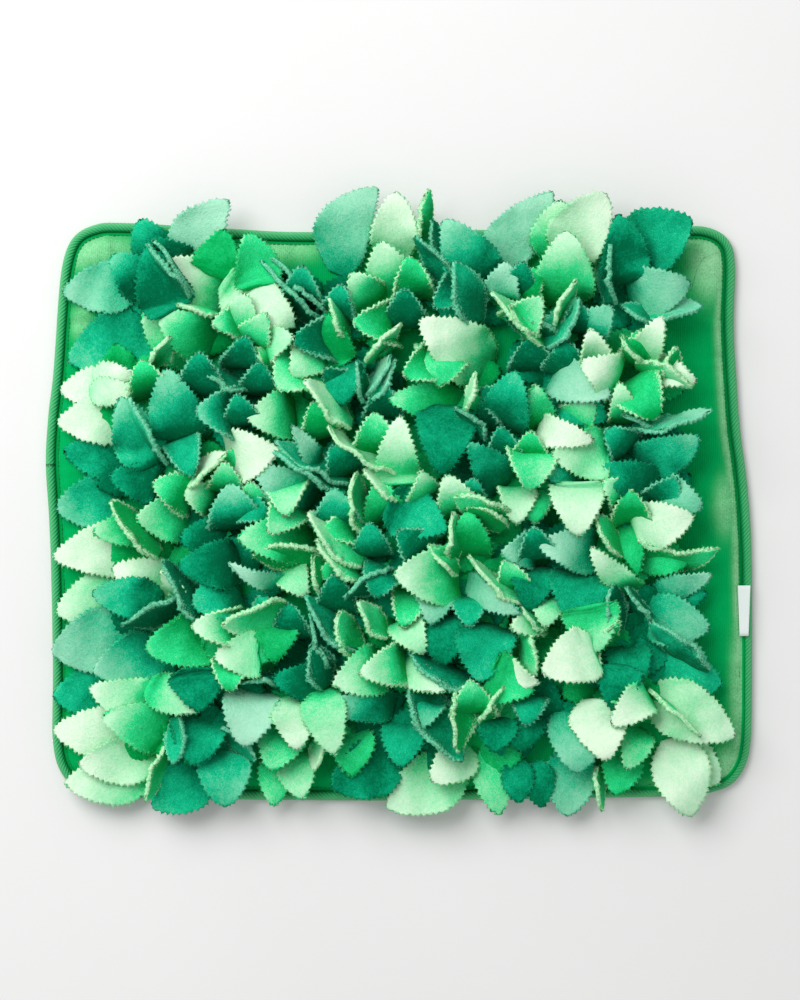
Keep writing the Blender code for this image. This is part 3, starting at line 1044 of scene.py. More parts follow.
class BentLeaf(NamedTuple):
    """One leaf bent into its place: its row, its tuft, its middle surface and its flat cut."""

    leaf: Leaf
    tuft: str
    sheet: Array
    flat: Array
    is_low: bool


@dataclass
class LeafBed:
    """All the fleece strips: cuts, bends and lays the leaves, one piece for each tuft."""

    pattern: LeafPattern = field(default_factory=LeafPattern)
    low_pattern: LeafPattern = field(
        default_factory=lambda: LeafPattern(columns=(-1.0, -0.45, 0.45, 1.0)))
    fuzz: EdgeFuzz = field(default_factory=EdgeFuzz)
    steepest_laid: float = 0.9
    most_roll_laid: float = 35.0
    edge_ring: float = 0.4
    edge_shift: float = 1.1
    edge_lift: float = 0.6
    normal_passes: int = 6
    rim_start: float = 0.6
    rim_start_on_edge: float = 0.3
    rim_near_tip: float = 0.6
    # Frosted edges with a painted highlight: weaker on lying leaves and their ring, and weaker on
    # leaves painted deep as shade.
    laid_frost: float = 0.6
    ring_frost: float = 0.4
    shade_frost: float = 0.35
    # Painted shade and light in the leaf colour: deeper at the seam, paler high up and on faces
    # turned towards the key light, along brushed_way
    seam_tone: float = 0.2
    pale_seam: float = 0.45
    pale_from: float = 0.7
    pale_over: float = 0.3
    high_tone: float = 0.03
    high_from: float = 42.0
    high_over: float = 30.0
    face_tone: float = 0.55
    open_face: float = 0.70
    least_facing: float = -0.2
    brushed_way: tuple[float, float, float] = (-0.6, 0.6, 1.0)
    under_count: int = 5
    under_stray: float = 0.2
    under_start: float = 6.0
    under_reach: Span = (38.0, 50.0)
    under_heights: Span = (20.0, 24.0)
    # The under leaves are painted dark, as shade in the gaps of a tuft.
    under_tones: Span = (0.0, 18.0)
    under_sizes: Span = (80.0, 100.0)
    inner_x: Span = (-262.0, 250.0)
    inner_y: Span = (-225.0, 205.0)
    cloth_step: Span = (97.0, 61.0)  # from leaf to leaf and from tuft to tuft, on the cloth
    strip_margin: float = 1.1  # how much wider a strip is than its leaves
    leaf_fill: float = 0.7  # share of its strip that a leaf fills
    seed: int = 11
    under_seed_step: int = 7
    leaf_seed_step: int = 1000

    def seen(self, x: float, y: float, z: float) -> Array:
        """Where a point stands in the mat's frame, if it looks to be at x, y from above."""
        nearer = 1.0 - z / CAMERA_HEIGHT
        return np.array([x * nearer, y * nearer + SHIFT_Y, z])

    def bend(self, leaf: Leaf, cut: LeafPattern, rng: Rng) -> tuple[Array, Array]:
        """Bends one cut leaf into its place.

        Args:
            leaf: Its place and lean.
            cut: The pattern that it is cut to.
            rng: Source of its small irregularities.

        Returns:
            The middle surface and the flat cut, each as rows by columns.
        """
        on_edge = self.stands_on_edge(leaf)
        low = cut.seam_height
        if on_edge:
            low += self.edge_lift * (leaf.tip_z - low)
        start = self.seen(leaf.base_x, leaf.base_y, low)
        end = self.seen(leaf.tip_x, leaf.tip_y, leaf.tip_z)
        chord = float(np.linalg.norm(end - start))
        forward = (end - start) / chord
        if on_edge:
            arch, hook = rng.uniform(-1.0, 1.0) * cut.edge_arch, 0.0
        else:
            arch = min(math.asin(forward[2]) + rng.uniform(*cut.droop), cut.most_arch)
            hook = rng.uniform(0.0, cut.most_hook)
        steps, path, turn = hanging_curve(arch, hook)
        length = chord / abs(path[-1])
        half = cut.half_width * leaf.size / 100.0 * min(length / cut.usual_length, 1.0) ** 0.5
        flat = cut.flat(length, half, cut.edge_tooth_depth if on_edge else cut.tooth_depth, rng)
        along, width = flat[..., 0:1], flat[..., 1:2]
        share = along / length

        left = unit(np.cross((0.0, 0.0, 1.0), forward))
        up = np.cross(forward, left)
        roll = math.radians(leaf.roll)
        side = math.cos(roll) * left + math.sin(roll) * up
        normal = np.cross(forward, side)
        forth = np.interp(share, steps, path.real) * length
        rise = np.interp(share, steps, path.imag) * length
        angle = np.interp(share, steps, turn)
        centre = start + forth * forward + rise * normal
        lifted = -np.sin(angle) * forward + np.cos(angle) * normal

        twist = cut.twist * rng.uniform(-1, 1) * (share - cut.twist_from)
        across = np.cos(twist) * side + np.sin(twist) * lifted
        facing = np.cos(twist) * lifted - np.sin(twist) * side
        usual_cup = cut.cup if self.is_laid(leaf) else cut.standing_cup
        cup = usual_cup * rng.uniform(*cut.cup_spread)
        cup = math.copysign(max(abs(cup), cut.least_cup), cup)
        lean = cut.edge_tooth_lean if on_edge else cut.tooth_lean
        wave = cut.ruffles(along, width, half, lean, rng)
        sway = 4.0 * leaf.bow / 100.0 * length * share * (1.0 - share)
        sheet = centre + (sway + np.sin(cup * width) / cup) * across
        sheet = sheet + ((1 - np.cos(cup * width)) / cup + wave) * facing
        return sheet, flat

    def stands_on_edge(self, leaf: Leaf) -> bool:
        """Whether a leaf stands on its long edge."""
        return abs(leaf.roll) > self.most_roll_laid

    def is_laid(self, leaf: Leaf) -> bool:
        """Whether a leaf lies over its neighbours, rather than standing among them."""
        most_rise = self.steepest_laid * math.dist(leaf[:2], leaf[2:4])
        return leaf.tip_z - self.pattern.seam_height < most_rise and not self.stands_on_edge(leaf)

    def normals(self, sheet: Array) -> Array:
        """Directions square to a leaf, evened out along it.

        Args:
            sheet: Its middle surface.

        Returns:
            A unit vector for each point.
        """
        normal = sheet_normals(sheet)
        for _ in range(self.normal_passes):
            wide = np.pad(normal, ((1, 1), (0, 0), (0, 0)), mode="edge")
            normal = unit(0.5 * normal + 0.25 * (wide[:-2] + wide[2:]))
        return normal

    def slab(self, bent: BentLeaf, seed: int) -> Array:
        """Vertices of a leaf of real thickness, its cut edge a little uneven.

        Args:
            bent: The leaf.
            seed: Seed of the unevenness of its edge.

        Returns:
            The vertices, in the order of slab_quads.
        """
        on_edge = self.stands_on_edge(bent.leaf)
        thickness = self.pattern.edge_thickness if on_edge else self.pattern.thickness
        count = len(slab_edge(*bent.sheet.shape[:2]))
        shift = self.edge_shift * np.random.default_rng(seed).uniform(-1.0, 1.0, count)
        return slab_points(bent.sheet, self.normals(bent.sheet), thickness, self.edge_ring, shift)

    def edge_values(self, bent: BentLeaf) -> tuple[Array, Array]:
        """Where loose fibres grow on a leaf, and how pale its cut edge is.

        Both are most at the edge and fall to nothing a little way in. The pale edge is partly
        loose fibre and partly a painted highlight. A lying leaf has a darker edge, darker still on
        a leaf painted deep as shade, and neither of them below, and a low leaf has none at all.

        Args:
            bent: The leaf.

        Returns:
            The fray, and the frosted edge value with its painted highlight, of each vertex, in the
            order of slab_quads.
        """
        rows, columns = bent.sheet.shape[:2]
        count = rows * columns
        ring = np.ones(len(slab_edge(rows, columns)))
        if bent.is_low:
            return np.zeros(2 * count + len(ring)), np.zeros(2 * count + len(ring))
        start = self.rim_start_on_edge if self.stands_on_edge(bent.leaf) else self.rim_start
        spread = np.abs(np.asarray(self.pattern.columns))
        across = np.clip((spread - start) / (1.0 - start), 0.0, 1.0) ** 2
        grid = np.broadcast_to(across, (rows, columns)).copy()
        grid[-1] = 1.0
        grid[-2] = np.maximum(grid[-2], self.rim_near_tip)
        fray = np.concatenate([grid.ravel(), grid.ravel(), ring])
        if not self.is_laid(bent.leaf):
            return fray, fray
        fray[count:2 * count] = 0.0
        # Painted highlight on the edge, dimmed on lying leaves and on leaves painted deep as shade.
        frost = self.laid_frost * (self.shade_frost + (1 - self.shade_frost) * bent.leaf.pale) * fray
        frost[2 * count:] *= self.ring_frost
        return fray, frost

    def tone_values(self, bent: BentLeaf) -> Array:
        """How pale the leaf is at each vertex.

        It is painted deepest, as shade, at the seam and on faces turned away from the key light,
        and palest, as painted light, at the tip and on high faces open to it.

        Args:
            bent: The leaf.

        Returns:
            A value for each vertex, in the order of slab_quads.
        """
        along, tone = bent.flat[..., 0], bent.leaf.pale
        share = np.clip(along / along.max(), 0.0, 1.0)
        # Painted shade: the colour deepens towards the seam, less so on pale leaves.
        at_seam = self.seam_tone + self.pale_seam * max(tone - self.pale_from, 0.0) / self.pale_over
        own = tone * (at_seam + (1 - at_seam) * share)
        # Painted light: higher parts of a leaf are painted paler.
        above = (bent.sheet[..., 2] - self.high_from) / self.high_over
        own = own + self.high_tone * np.clip(above, -1.0, 1.0)
        # Painted light and shade: faces turned towards the key light are painted paler, faces
        # turned away deeper.
        facing = self.normals(bent.sheet) @ unit(np.asarray(self.brushed_way))
        upper, lower = (own + self.face_tone * (np.clip(way, self.least_facing, 1.0)
                                                - self.open_face) for way in (facing, -facing))
        edge = np.maximum(upper, lower).ravel()[slab_edge(*own.shape)]
        return np.clip(np.concatenate([upper.ravel(), lower.ravel(), edge]), 0.0, 1.0)

    def cloth_places(self, flat: Array) -> Array:
        """Place of each vertex on the cloth, for its nap.

        The ring lies past the edge, so that the nap runs on across the cut.

        Args:
            flat: The flat cut.

        Returns:
            The places, in the order of slab_quads.
        """
        grid = flat.reshape(-1, 2)
        edge = grid[slab_edge(*flat.shape[:2])]
        ring = edge + np.sign(edge) * (0.0, 0.5 * self.pattern.edge_thickness)
        return np.vstack([grid, grid, ring])

    def cut_area(self, flat: Array) -> float:
        """Area of one cut leaf, in square millimetres."""
        x, y = flat.reshape(-1, 2)[slab_edge(*flat.shape[:2])].T
        return abs(0.5 * float(np.sum(x * np.roll(y, -1) - np.roll(x, -1) * y)))

    def under_leaves(self, tuft: Tuft, rng: Rng) -> list[Leaf]:
        """The short leaves low in a tuft, painted dark to stand in for shade, which only show in
        the gaps between the rest.

        Args:
            tuft: The tuft.
            rng: Source of their directions.

        Returns:
            Their rows.
        """
        middle = np.mean([(leaf.base_x, leaf.base_y) for leaf in tuft.leaves()], axis=0)
        first = rng.uniform(0.0, math.tau)
        rows = []
        for number in range(self.under_count):
            stray = rng.uniform(-self.under_stray, self.under_stray)
            angle = first + math.tau * (number + stray) / self.under_count
            way = np.array([math.cos(angle), math.sin(angle)])
            base = middle + self.under_start * way
            tip = middle + rng.uniform(*self.under_reach) * way
            if self.inner_x[0] < tip[0] < self.inner_x[1] and (
                    self.inner_y[0] < tip[1] < self.inner_y[1]):
                rows.append(Leaf(*base, *tip, tip_z=rng.uniform(*self.under_heights), roll=0.0,
                                 tone=rng.uniform(*self.under_tones),
                                 size=rng.uniform(*self.under_sizes)))
        return rows

    def arrange(self, piping_top: Array) -> dict[str, list[BentLeaf]]:
        """Bends every leaf, and lays the lying ones over each other from the lowest up.

        Args:
            piping_top: Points on top of the pad and its piping, which leaves lie on.

        Returns:
            The bent leaves of each tuft.
        """
        heap = Heap()
        heap.cover(piping_top, 0.0)
        half = self.pattern.thickness / 2
        work = []
        for number, tuft in enumerate(TUFTS):
            own = np.random.default_rng(self.seed + self.under_seed_step * number)
            low = self.under_leaves(tuft, own)
            for index, leaf in enumerate(tuft.leaves() + low):
                rng = np.random.default_rng(self.seed + self.leaf_seed_step * number + index)
                is_low = index >= len(tuft.rows)
                cut = self.low_pattern if is_low else self.pattern
                work.append(BentLeaf(leaf, tuft.name, *self.bend(leaf, cut, rng), is_low))
        work.sort(key=lambda bent: bent.leaf.tip_z)
        made: dict[str, list[BentLeaf]] = {}
        for bent in work:
            if self.is_laid(bent.leaf) and not bent.is_low:
                bent = bent._replace(sheet=heap.lay(bent.sheet, half))
                heap.remember(bent.sheet, half)
            made.setdefault(bent.tuft, []).append(bent)
        return made

    def build(self, materials: dict[Cloth, bpy.types.Material],
              fibres: dict[Cloth, bpy.types.Material], piping_top: Array, rests_on: str) -> None:
        """Makes the piece of each tuft.

        Args:
            materials: The finish of each cloth.
            fibres: The finish of the loose fibres of each cloth.
            piping_top: Points that leaves lie on.
            rests_on: Name of the piece that the strips are sewn to; not used.
        """
        arranged = self.arrange(piping_top)
        recipe = self.fuzz.recipe()
        for number, tuft in enumerate(TUFTS):
            buffer = MeshBuffer()
            area = 0.0
            for index, bent in enumerate(arranged[tuft.name]):
                rows, columns = bent.sheet.shape[:2]
                place = self.cloth_places(bent.flat) + np.multiply(self.cloth_step,
                                                                   (index, number))
                fray, frost = self.edge_values(bent)
                buffer.add(self.slab(bent, index), slab_quads(rows, columns), place,
                           fray=fray, frost=frost, tone=self.tone_values(bent))
                area += self.cut_area(bent.flat)
            piece = buffer.build(f"{tuft.name}_leaves", materials[tuft.cloth])
            self.fuzz.grow(piece, recipe, fibres[tuft.cloth], number)
            self.declare(piece, tuft)
            LOG.info("%s: %d leaves", piece.name, len(arranged[tuft.name]))

    def declare(self, piece: bpy.types.Object, tuft: Tuft) -> None:
        """Attaches the piece of a tuft to its body, and hides its node in the model if it has one.

        Args:
            piece: The finished piece.
            tuft: The tuft.
        """
        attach(piece, ROOT)
        if tuft.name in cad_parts:
            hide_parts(tuft.name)


class Effects:
    """The shader node groups that several finishes share, each built once."""

    def __init__(self) -> None:
        """Builds the groups."""
        self.nap = self.build_nap()
        self.frost = self.build_frost()
        self.twill = self.build_twill()

    @staticmethod
    def group(name: str, inputs: Iterable[tuple[str, str, object]],
              outputs: Iterable[str]) -> tuple[bpy.types.NodeTree, Links,
                                               bpy.types.NodeOutputs, bpy.types.NodeInputs]:
        """Starts a node group that puts out numbers.

        Args:
            name: Its name.
            inputs: Name, socket type and usual value of each input.
            outputs: Name of each output.

        Returns:
            The tree, its links helper, what it is given and what it gives back.
        """
        tree = bpy.data.node_groups.new(name, "ShaderNodeTree")
        for label, kind, value in inputs:
            made = tree.interface.new_socket(label, in_out="INPUT", socket_type=kind)
            if value is not None:
                made.default_value = value
        for label in outputs:
            tree.interface.new_socket(label, in_out="OUTPUT", socket_type="NodeSocketFloat")
        links = Links(tree)
        source, sink = links.node("NodeGroupInput"), links.node("NodeGroupOutput")
        return tree, links, source.outputs, sink.inputs

    def build_nap(self) -> bpy.types.NodeTree:
        """Brushed nap: a cloudy mottle, fine pills of fibre and their height.

        Returns:
            The group.
        """
        tree, links, given, result = self.group(
            "Brushed nap",
            (("Vector", "NodeSocketVector", None), ("Pill Scale", "NodeSocketFloat", 0.8),
             ("Cloud Scale", "NodeSocketFloat", 0.12)),
            ("Mottle", "Height"))
        place, scale = given["Vector"], given["Pill Scale"]
        cloud = links.noise(place, given["Cloud Scale"], 3.0)
        pill = links.noise(place, scale, 4.0)
        fine = links.noise(place, links.maths("MULTIPLY", scale, 2.7), 2.0)
        clump = links.noise(place, links.maths("MULTIPLY", scale, 0.42), 3.0)
        links.join(links.weighted((cloud, 0.3), (clump, 0.3), (pill, 0.4)), result["Mottle"])
        links.join(links.weighted((clump, 0.4), (pill, 0.4), (fine, 0.2)), result["Height"])
        return tree

    def build_frost(self) -> bpy.types.NodeTree:
        """Pale loose fibre along a cut edge, with a painted highlight, as a ragged mask from the
        edge inwards.

        Returns:
            The group.
        """
        tree, links, given, result = self.group(
            "Frosted edge",
            (("Edge", "NodeSocketFloat", 0.0), ("Vector", "NodeSocketVector", None),
             ("Strength", "NodeSocketFloat", 0.7)),
            ("Mask",))
        ragged = links.maths("SUBTRACT", links.noise(given["Vector"], 0.62, 4.0), 0.55)
        raw = links.maths("ADD", given["Edge"], links.maths("MULTIPLY", ragged, 2.4))
        mask = links.maths("MULTIPLY", links.ramp(raw, 0.35, 0.95), given["Strength"], clamp=True)
        links.join(mask, result["Mask"])
        return tree

    def build_twill(self) -> bpy.types.NodeTree:
        """Slanting ribs of a twill, with the gaps between them.

        Returns:
            The group.
        """
        tree, links, given, result = self.group(
            "Twill ribs",
            (("Vector", "NodeSocketVector", None), ("Pitch", "NodeSocketFloat", 1.6),
             ("Slant", "NodeSocketFloat", 0.8)),
            ("Rib",))
        parts = links.node("ShaderNodeSeparateXYZ", {0: given["Vector"]}).outputs
        skew = links.maths("ADD", parts[0], links.maths("MULTIPLY", parts[1], given["Slant"]))
        phase = links.maths("MULTIPLY", links.maths("DIVIDE", skew, given["Pitch"]), math.tau)
        wear = links.maths("MULTIPLY", links.noise(given["Vector"], 0.4), 0.6)
        worn = links.maths("MULTIPLY", links.ribs(phase), links.maths("ADD", 0.7, wear))
        links.join(worn, result["Rib"])
        return tree


@dataclass(frozen=True, kw_only=True)
class ClothFinish:
    """What every cloth finish has: a matt fibre surface with some sheen."""

    name: str
    sheen: float
    sheen_tint: Colour
    bump_mm: float
    roughness: float = 0.95
    specular: float = 0.02
    sheen_roughness: float = 0.5
    pill_scale: float = 0.8
    cloud_scale: float = 0.12

    def start(self) -> tuple[bpy.types.Material, Links, bpy.types.Node]:
        """A new material with its Principled shader set for cloth."""
        return start_material(self.name, {
            "Roughness": self.roughness, "Specular IOR Level": self.specular,
            "Sheen Weight": self.sheen, "Sheen Roughness": self.sheen_roughness,
            "Sheen Tint": rgba(self.sheen_tint)})

    def nap(self, links: Links, effects: Effects, place: Socket) -> bpy.types.NodeOutputs:
        """The nap of this cloth at a place, in mm."""
        return links.node("ShaderNodeGroup", {
            "Vector": place, "Pill Scale": self.pill_scale, "Cloud Scale": self.cloud_scale},
            node_tree=effects.nap).outputs

    def finish(self, links: Links, shader: bpy.types.Node, colour: Socket, height: Socket) -> None:
        """Joins the colour and the height to the shader.

        Args:
            links: The material's links helper.
            shader: Its Principled shader.
            colour: The colour of the cloth.
            height: The height of its surface, from 0 to 1.
        """
        bump = links.node("ShaderNodeBump", {"Height": height, "Distance": self.bump_mm * MM,
                                             "Strength": 1.0})
        links.join(colour, shader.inputs["Base Color"])
        links.join(bump.outputs["Normal"], shader.inputs["Normal"])


@dataclass(frozen=True, kw_only=True)
class FleeceFinish(ClothFinish):
    """Napped fleece, coloured from deep to pale by painted light and shade as well as its nap,
    whose cut edges are frosted with loose fibre and a painted highlight.
    """

    deep: Colour
    middle: Colour
    pale: Colour
    # edge: pale loose fibre, also the colour of the painted highlight along cut edges
    edge: Colour
    fibre: Colour
    frost: float
    cloud: float
    speckle: float = 0.6
    speckle_scale: float = 1.15
    speckle_from: float = 0.47
    speckle_to: float = 0.66
    speckle_power: float = 1.5
    middle_at: float = 0.38

    def material(self, effects: Effects) -> bpy.types.Material:
        """Builds the material.

        Args:
            effects: The shared node groups.

        Returns:
            The material.
        """
        material, links, shader = self.start()
        flat = links.node("ShaderNodeUVMap", uv_map="cut").outputs[0]
        nap = self.nap(links, effects, flat)
        swing = links.maths("MULTIPLY", links.maths("SUBTRACT", nap["Mottle"], 0.5),
                            self.cloud * 2)
        # The ramp follows the painted paleness of each vertex, so it paints deep shade and pale lit
        # fleece along with the mottle of the nap.
        level = links.maths("ADD", links.attribute("tone"), swing, clamp=True)
        lower = links.blend(links.maths("DIVIDE", level, self.middle_at, clamp=True),
                            rgba(self.deep), rgba(self.middle))
        above = links.maths("SUBTRACT", level, self.middle_at)
        colour = links.blend(links.maths("DIVIDE", above, 1.0 - self.middle_at, clamp=True),
                             lower, rgba(self.pale))
        speck = links.ramp(links.noise(flat, self.speckle_scale, 3.0), self.speckle_from,
                           self.speckle_to)
        speck = links.maths("MULTIPLY", links.maths("MULTIPLY", speck, self.speckle),
                            links.maths("POWER", level, self.speckle_power))
        colour = links.blend(speck, colour, rgba(self.edge))
        # Frosted cut edge: pale loose fibre with a painted highlight.
        frost = links.node("ShaderNodeGroup", {
            "Edge": links.attribute("frost"), "Vector": flat, "Strength": self.frost},
            node_tree=effects.frost)
        colour = links.blend(frost.outputs["Mask"], colour, rgba(self.edge))
        self.finish(links, shader, colour, nap["Height"])
        return material

    def fibre_material(self) -> bpy.types.Material:
        """The finish of single loose fibres, paler than the cloth, following its painted light and
        shade.

        Returns:
            The material.
        """
        material, links, shader = start_material(
            f"{self.name}_fibre", {"Roughness": self.roughness, "Specular IOR Level": 0.0})
        share = links.maths("ADD", links.attribute("tone"), 0.1, clamp=True)
        colour = links.blend(share, rgba(self.middle), rgba(self.fibre))
        links.join(colour, shader.inputs["Base Color"])
        return material


@dataclass(frozen=True, kw_only=True)
class PlushFinish(ClothFinish):
    """Short-pile plush with fine upright wales, lighter where the pile is laid by brushing and
    where a sheen highlight is painted, and painted in shade in the seam groove.
    """

    deep: Colour
    middle: Colour
    brushed: Colour
    wale_pitch: float = 1.6
    wale_drift: float = 2.5
    drift_scale: float = 0.05
    pill_scale: float = 1.3
    cloud_scale: float = 0.05

    def material(self, effects: Effects) -> bpy.types.Material:
        """Builds the material.

        Args:
            effects: The shared node groups.

        Returns:
            The material.
        """
        material, links, shader = self.start()
        place = links.node("ShaderNodeTexCoord").outputs["Object"]
        flat = links.node("ShaderNodeVectorMath", {0: place, "Scale": 1.0 / MM},
                          operation="SCALE").outputs[0]
        brushed = links.attribute("brushed")
        nap = self.nap(links, effects, flat)
        across = links.node("ShaderNodeSeparateXYZ", {0: flat}).outputs[0]
        drift = links.maths("MULTIPLY", links.noise(flat, self.drift_scale), self.wale_drift)
        phase = links.maths("MULTIPLY", links.maths("ADD", across, drift),
                            math.tau / self.wale_pitch)
        wale = links.ribs(phase)
        level = links.weighted((wale, 0.2), (nap["Mottle"], 0.85), clamp=True)
        colour = links.blend(level, rgba(self.deep), rgba(self.middle))
        patchy = links.ramp(nap["Mottle"], 0.38, 0.58, first=0.35)
        # Pile lightened by brushing, with a painted sheen highlight, in patches.
        lighter = links.maths("MULTIPLY", brushed, patchy, clamp=True)
        colour = links.blend(lighter, colour, rgba(self.brushed))
        # Painted shade: the seam groove beside the piping is painted deep.
        seam_shade = links.maths("MULTIPLY", brushed, -1.0, clamp=True)
        colour = links.blend(seam_shade, colour, rgba(self.deep))
        self.finish(links, shader, colour, links.weighted((wale, 0.3), (nap["Height"], 0.7)))
        return material


@dataclass(frozen=True, kw_only=True)
class TwillFinish(ClothFinish):
    """Twill tape over a cord, sewing thread, or the smoother tape of a label."""

    gap: Colour
    rib: Colour
    pitch: float
    slant: float
    pill_scale: float = 1.6
    cloud_scale: float = 0.08
    # worn: the pale outer side of the cord, partly real wear and partly painted highlight
    worn: Colour | None = None
    lit_wear_power: float = 1.8
    lit_wear_from: float = 0.35
    # shaded: where the inner side of the cord passes into painted shade
    shaded: Span = (0.1, 0.35)

    def material(self, effects: Effects) -> bpy.types.Material:
        """Builds the material.

        Args:
            effects: The shared node groups.

        Returns:
            The material.
        """
        material, links, shader = self.start()
        flat = links.node("ShaderNodeUVMap", uv_map="cut").outputs[0]
        twill = links.node("ShaderNodeGroup", {"Vector": flat, "Pitch": self.pitch,
                                               "Slant": self.slant}, node_tree=effects.twill)
        rib = twill.outputs["Rib"]
        nap = self.nap(links, effects, flat)
        level = links.weighted((rib, 0.6), (nap["Mottle"], 0.4), clamp=True)
        colour = links.blend(level, rgba(self.gap), rgba(self.rib))
        if self.worn:
            # The outer side of the cord is painted paler, as wear and painted highlight together.
            outer = links.attribute("outer")
            share = links.maths("MULTIPLY", links.maths("POWER", outer, self.lit_wear_power),
                                links.maths("ADD", nap["Mottle"], self.lit_wear_from), clamp=True)
            colour = links.blend(share, colour, rgba(self.worn))
            # Painted shade: the inner side of the cord, under the edge of the pad, is painted deep.
            inner_shade = links.ramp(outer, *self.shaded, first=1.0, last=0.0)
            colour = links.blend(inner_shade, colour, rgba(self.gap))
        self.finish(links, shader, colour, links.weighted((rib, 0.75), (nap["Height"], 0.25)))
        return material


@dataclass(frozen=True)
class Wardrobe:
    """Every finish of the mat."""

    # deep, middle and pale: the fleece from shaded to lit, painted light and shade as well as its
    # own frosted nap; edge: loose fibre with a painted highlight.
    mint: FleeceFinish = FleeceFinish(
        name="mint_fleece", sheen=0.04, sheen_tint=(0.6, 1.0, 0.6), bump_mm=1.3,
        deep=(0.0, 0.38, 0.08), middle=(0.01, 0.72, 0.25), pale=(0.75, 0.92, 0.72),
        edge=(0.64, 0.95, 0.62), fibre=(0.30, 0.85, 0.32), frost=0.9, cloud=0.45)
    teal: FleeceFinish = FleeceFinish(
        name="teal_fleece", sheen=0.04, sheen_tint=(0.3, 1.0, 0.7), bump_mm=1.9,
        deep=(0.0, 0.17, 0.07), middle=(0.0, 0.51, 0.25), pale=(0.42, 0.78, 0.57),
        edge=(0.26, 0.78, 0.50), fibre=(0.10, 0.58, 0.36), frost=0.8, cloud=0.5)
    # brushed: pale pile lightened by brushing, also the colour of the painted sheen highlight
    plush: PlushFinish = PlushFinish(
        name="plush", sheen=0.05, sheen_tint=(0.3, 1.0, 0.5), bump_mm=0.6,
        deep=(0.0, 0.26, 0.05), middle=(0.0, 0.50, 0.14), brushed=(0.36, 0.78, 0.42))
    # The piping's worn colour is partly real wear and partly painted highlight on the outer side of
    # the cord.
    piping: TwillFinish = TwillFinish(
        name="piping_twill", sheen=0.05, sheen_tint=(0.4, 1.0, 0.6), bump_mm=0.7,
        gap=(0.0, 0.17, 0.04), rib=(0.03, 0.52, 0.18), pitch=3.4, slant=0.9,
        worn=(0.16, 0.56, 0.25))
    thread: TwillFinish = TwillFinish(
        name="sewing_thread", sheen=0.1, sheen_tint=(0.7, 1.0, 0.75), bump_mm=0.1,
        gap=(0.003, 0.13, 0.03), rib=(0.015, 0.28, 0.07), pitch=0.5, slant=0.5)
    label: TwillFinish = TwillFinish(
        name="label_tape", sheen=0.1, sheen_tint=(1.0, 1.0, 1.0), bump_mm=0.08,
        gap=(0.70, 0.80, 0.77), rib=(0.86, 0.91, 0.89), pitch=0.6, slant=0.0, roughness=0.6)


@dataclass
class EdgePiping:
    """The covered cord round the mat. Lengths in mm."""

    radius: float = 4.6
    cover: float = 4.5
    pitch: float = 2.4
    sides: int = 20
    knot_steps: int = 12
    swells: tuple[tuple[float, float, float], ...] = ((0.012, 7.0, 0.0), (0.01, 17.0, 1.0))
    join_at: Span = (-303.0, 38.0)
    name: str = "piping_cover"

    def centre_line(self) -> Array:
        """The middle of the cord, from the join round.

        Returns:
            Points along it, anticlockwise, in the mat's frame.
        """
        knots = np.asarray(EDGE_POINTS) + (0.0, SHIFT_Y)
        outer = even_loop(smooth_curve(knots, self.knot_steps, closed=True), self.pitch)
        join = np.argmin(np.linalg.norm(outer - self.join_at, axis=1))
        outer = np.roll(outer, -int(join), axis=0)
        return outer + loop_normals(outer) * self.radius

    def build(self, material: bpy.types.Material) -> None:
        """Makes the cover as one closed tube.

        Args:
            material: Its finish.
        """
        line = self.centre_line()
        inward = loop_normals(line)
        angles = np.linspace(0.0, math.tau, self.sides, endpoint=False)
        run = np.arange(len(line)) * self.pitch
        line = line + inward * (self.cover - self.radius)
        swell = np.ones(len(run))
        for share, length, phase in self.swells:
            swell = swell + share * np.sin(run / length + phase)
        radius = self.cover * swell[:, None]
        flat = -inward[:, None, :] * (radius * np.cos(angles))[..., None] + line[:, None, :]
        height = self.radius + radius * np.sin(angles)
        points = np.concatenate([flat, height[..., None]], axis=-1).reshape(-1, 3)
        shape = (len(line), self.sides)
        here = np.arange(len(points)).reshape(shape)
        after, over = np.roll(here, -1, axis=0), np.roll(here, -1, axis=1)
        both = np.roll(after, -1, axis=1)
        quads = np.stack([here, after, both, over], axis=-1).reshape(-1, 4)
        along = np.broadcast_to(run[:, None], shape).ravel()
        around = np.broadcast_to(angles * self.radius, shape).ravel()
        # outer: how far each point faces out from the mat; the twill finish paints the outer side
        # paler, partly as highlight, and the inner side in shade.
        outer = np.broadcast_to(0.5 + 0.5 * np.cos(angles), shape).ravel()
        buffer = MeshBuffer()
        buffer.add(points, quads, np.stack([along, around], axis=1), outer=outer)
        piece = buffer.build(self.name, material)
        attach(piece, ROOT)
        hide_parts("edge_piping")
        LOG.info("%s: %d rings", piece.name, len(line))


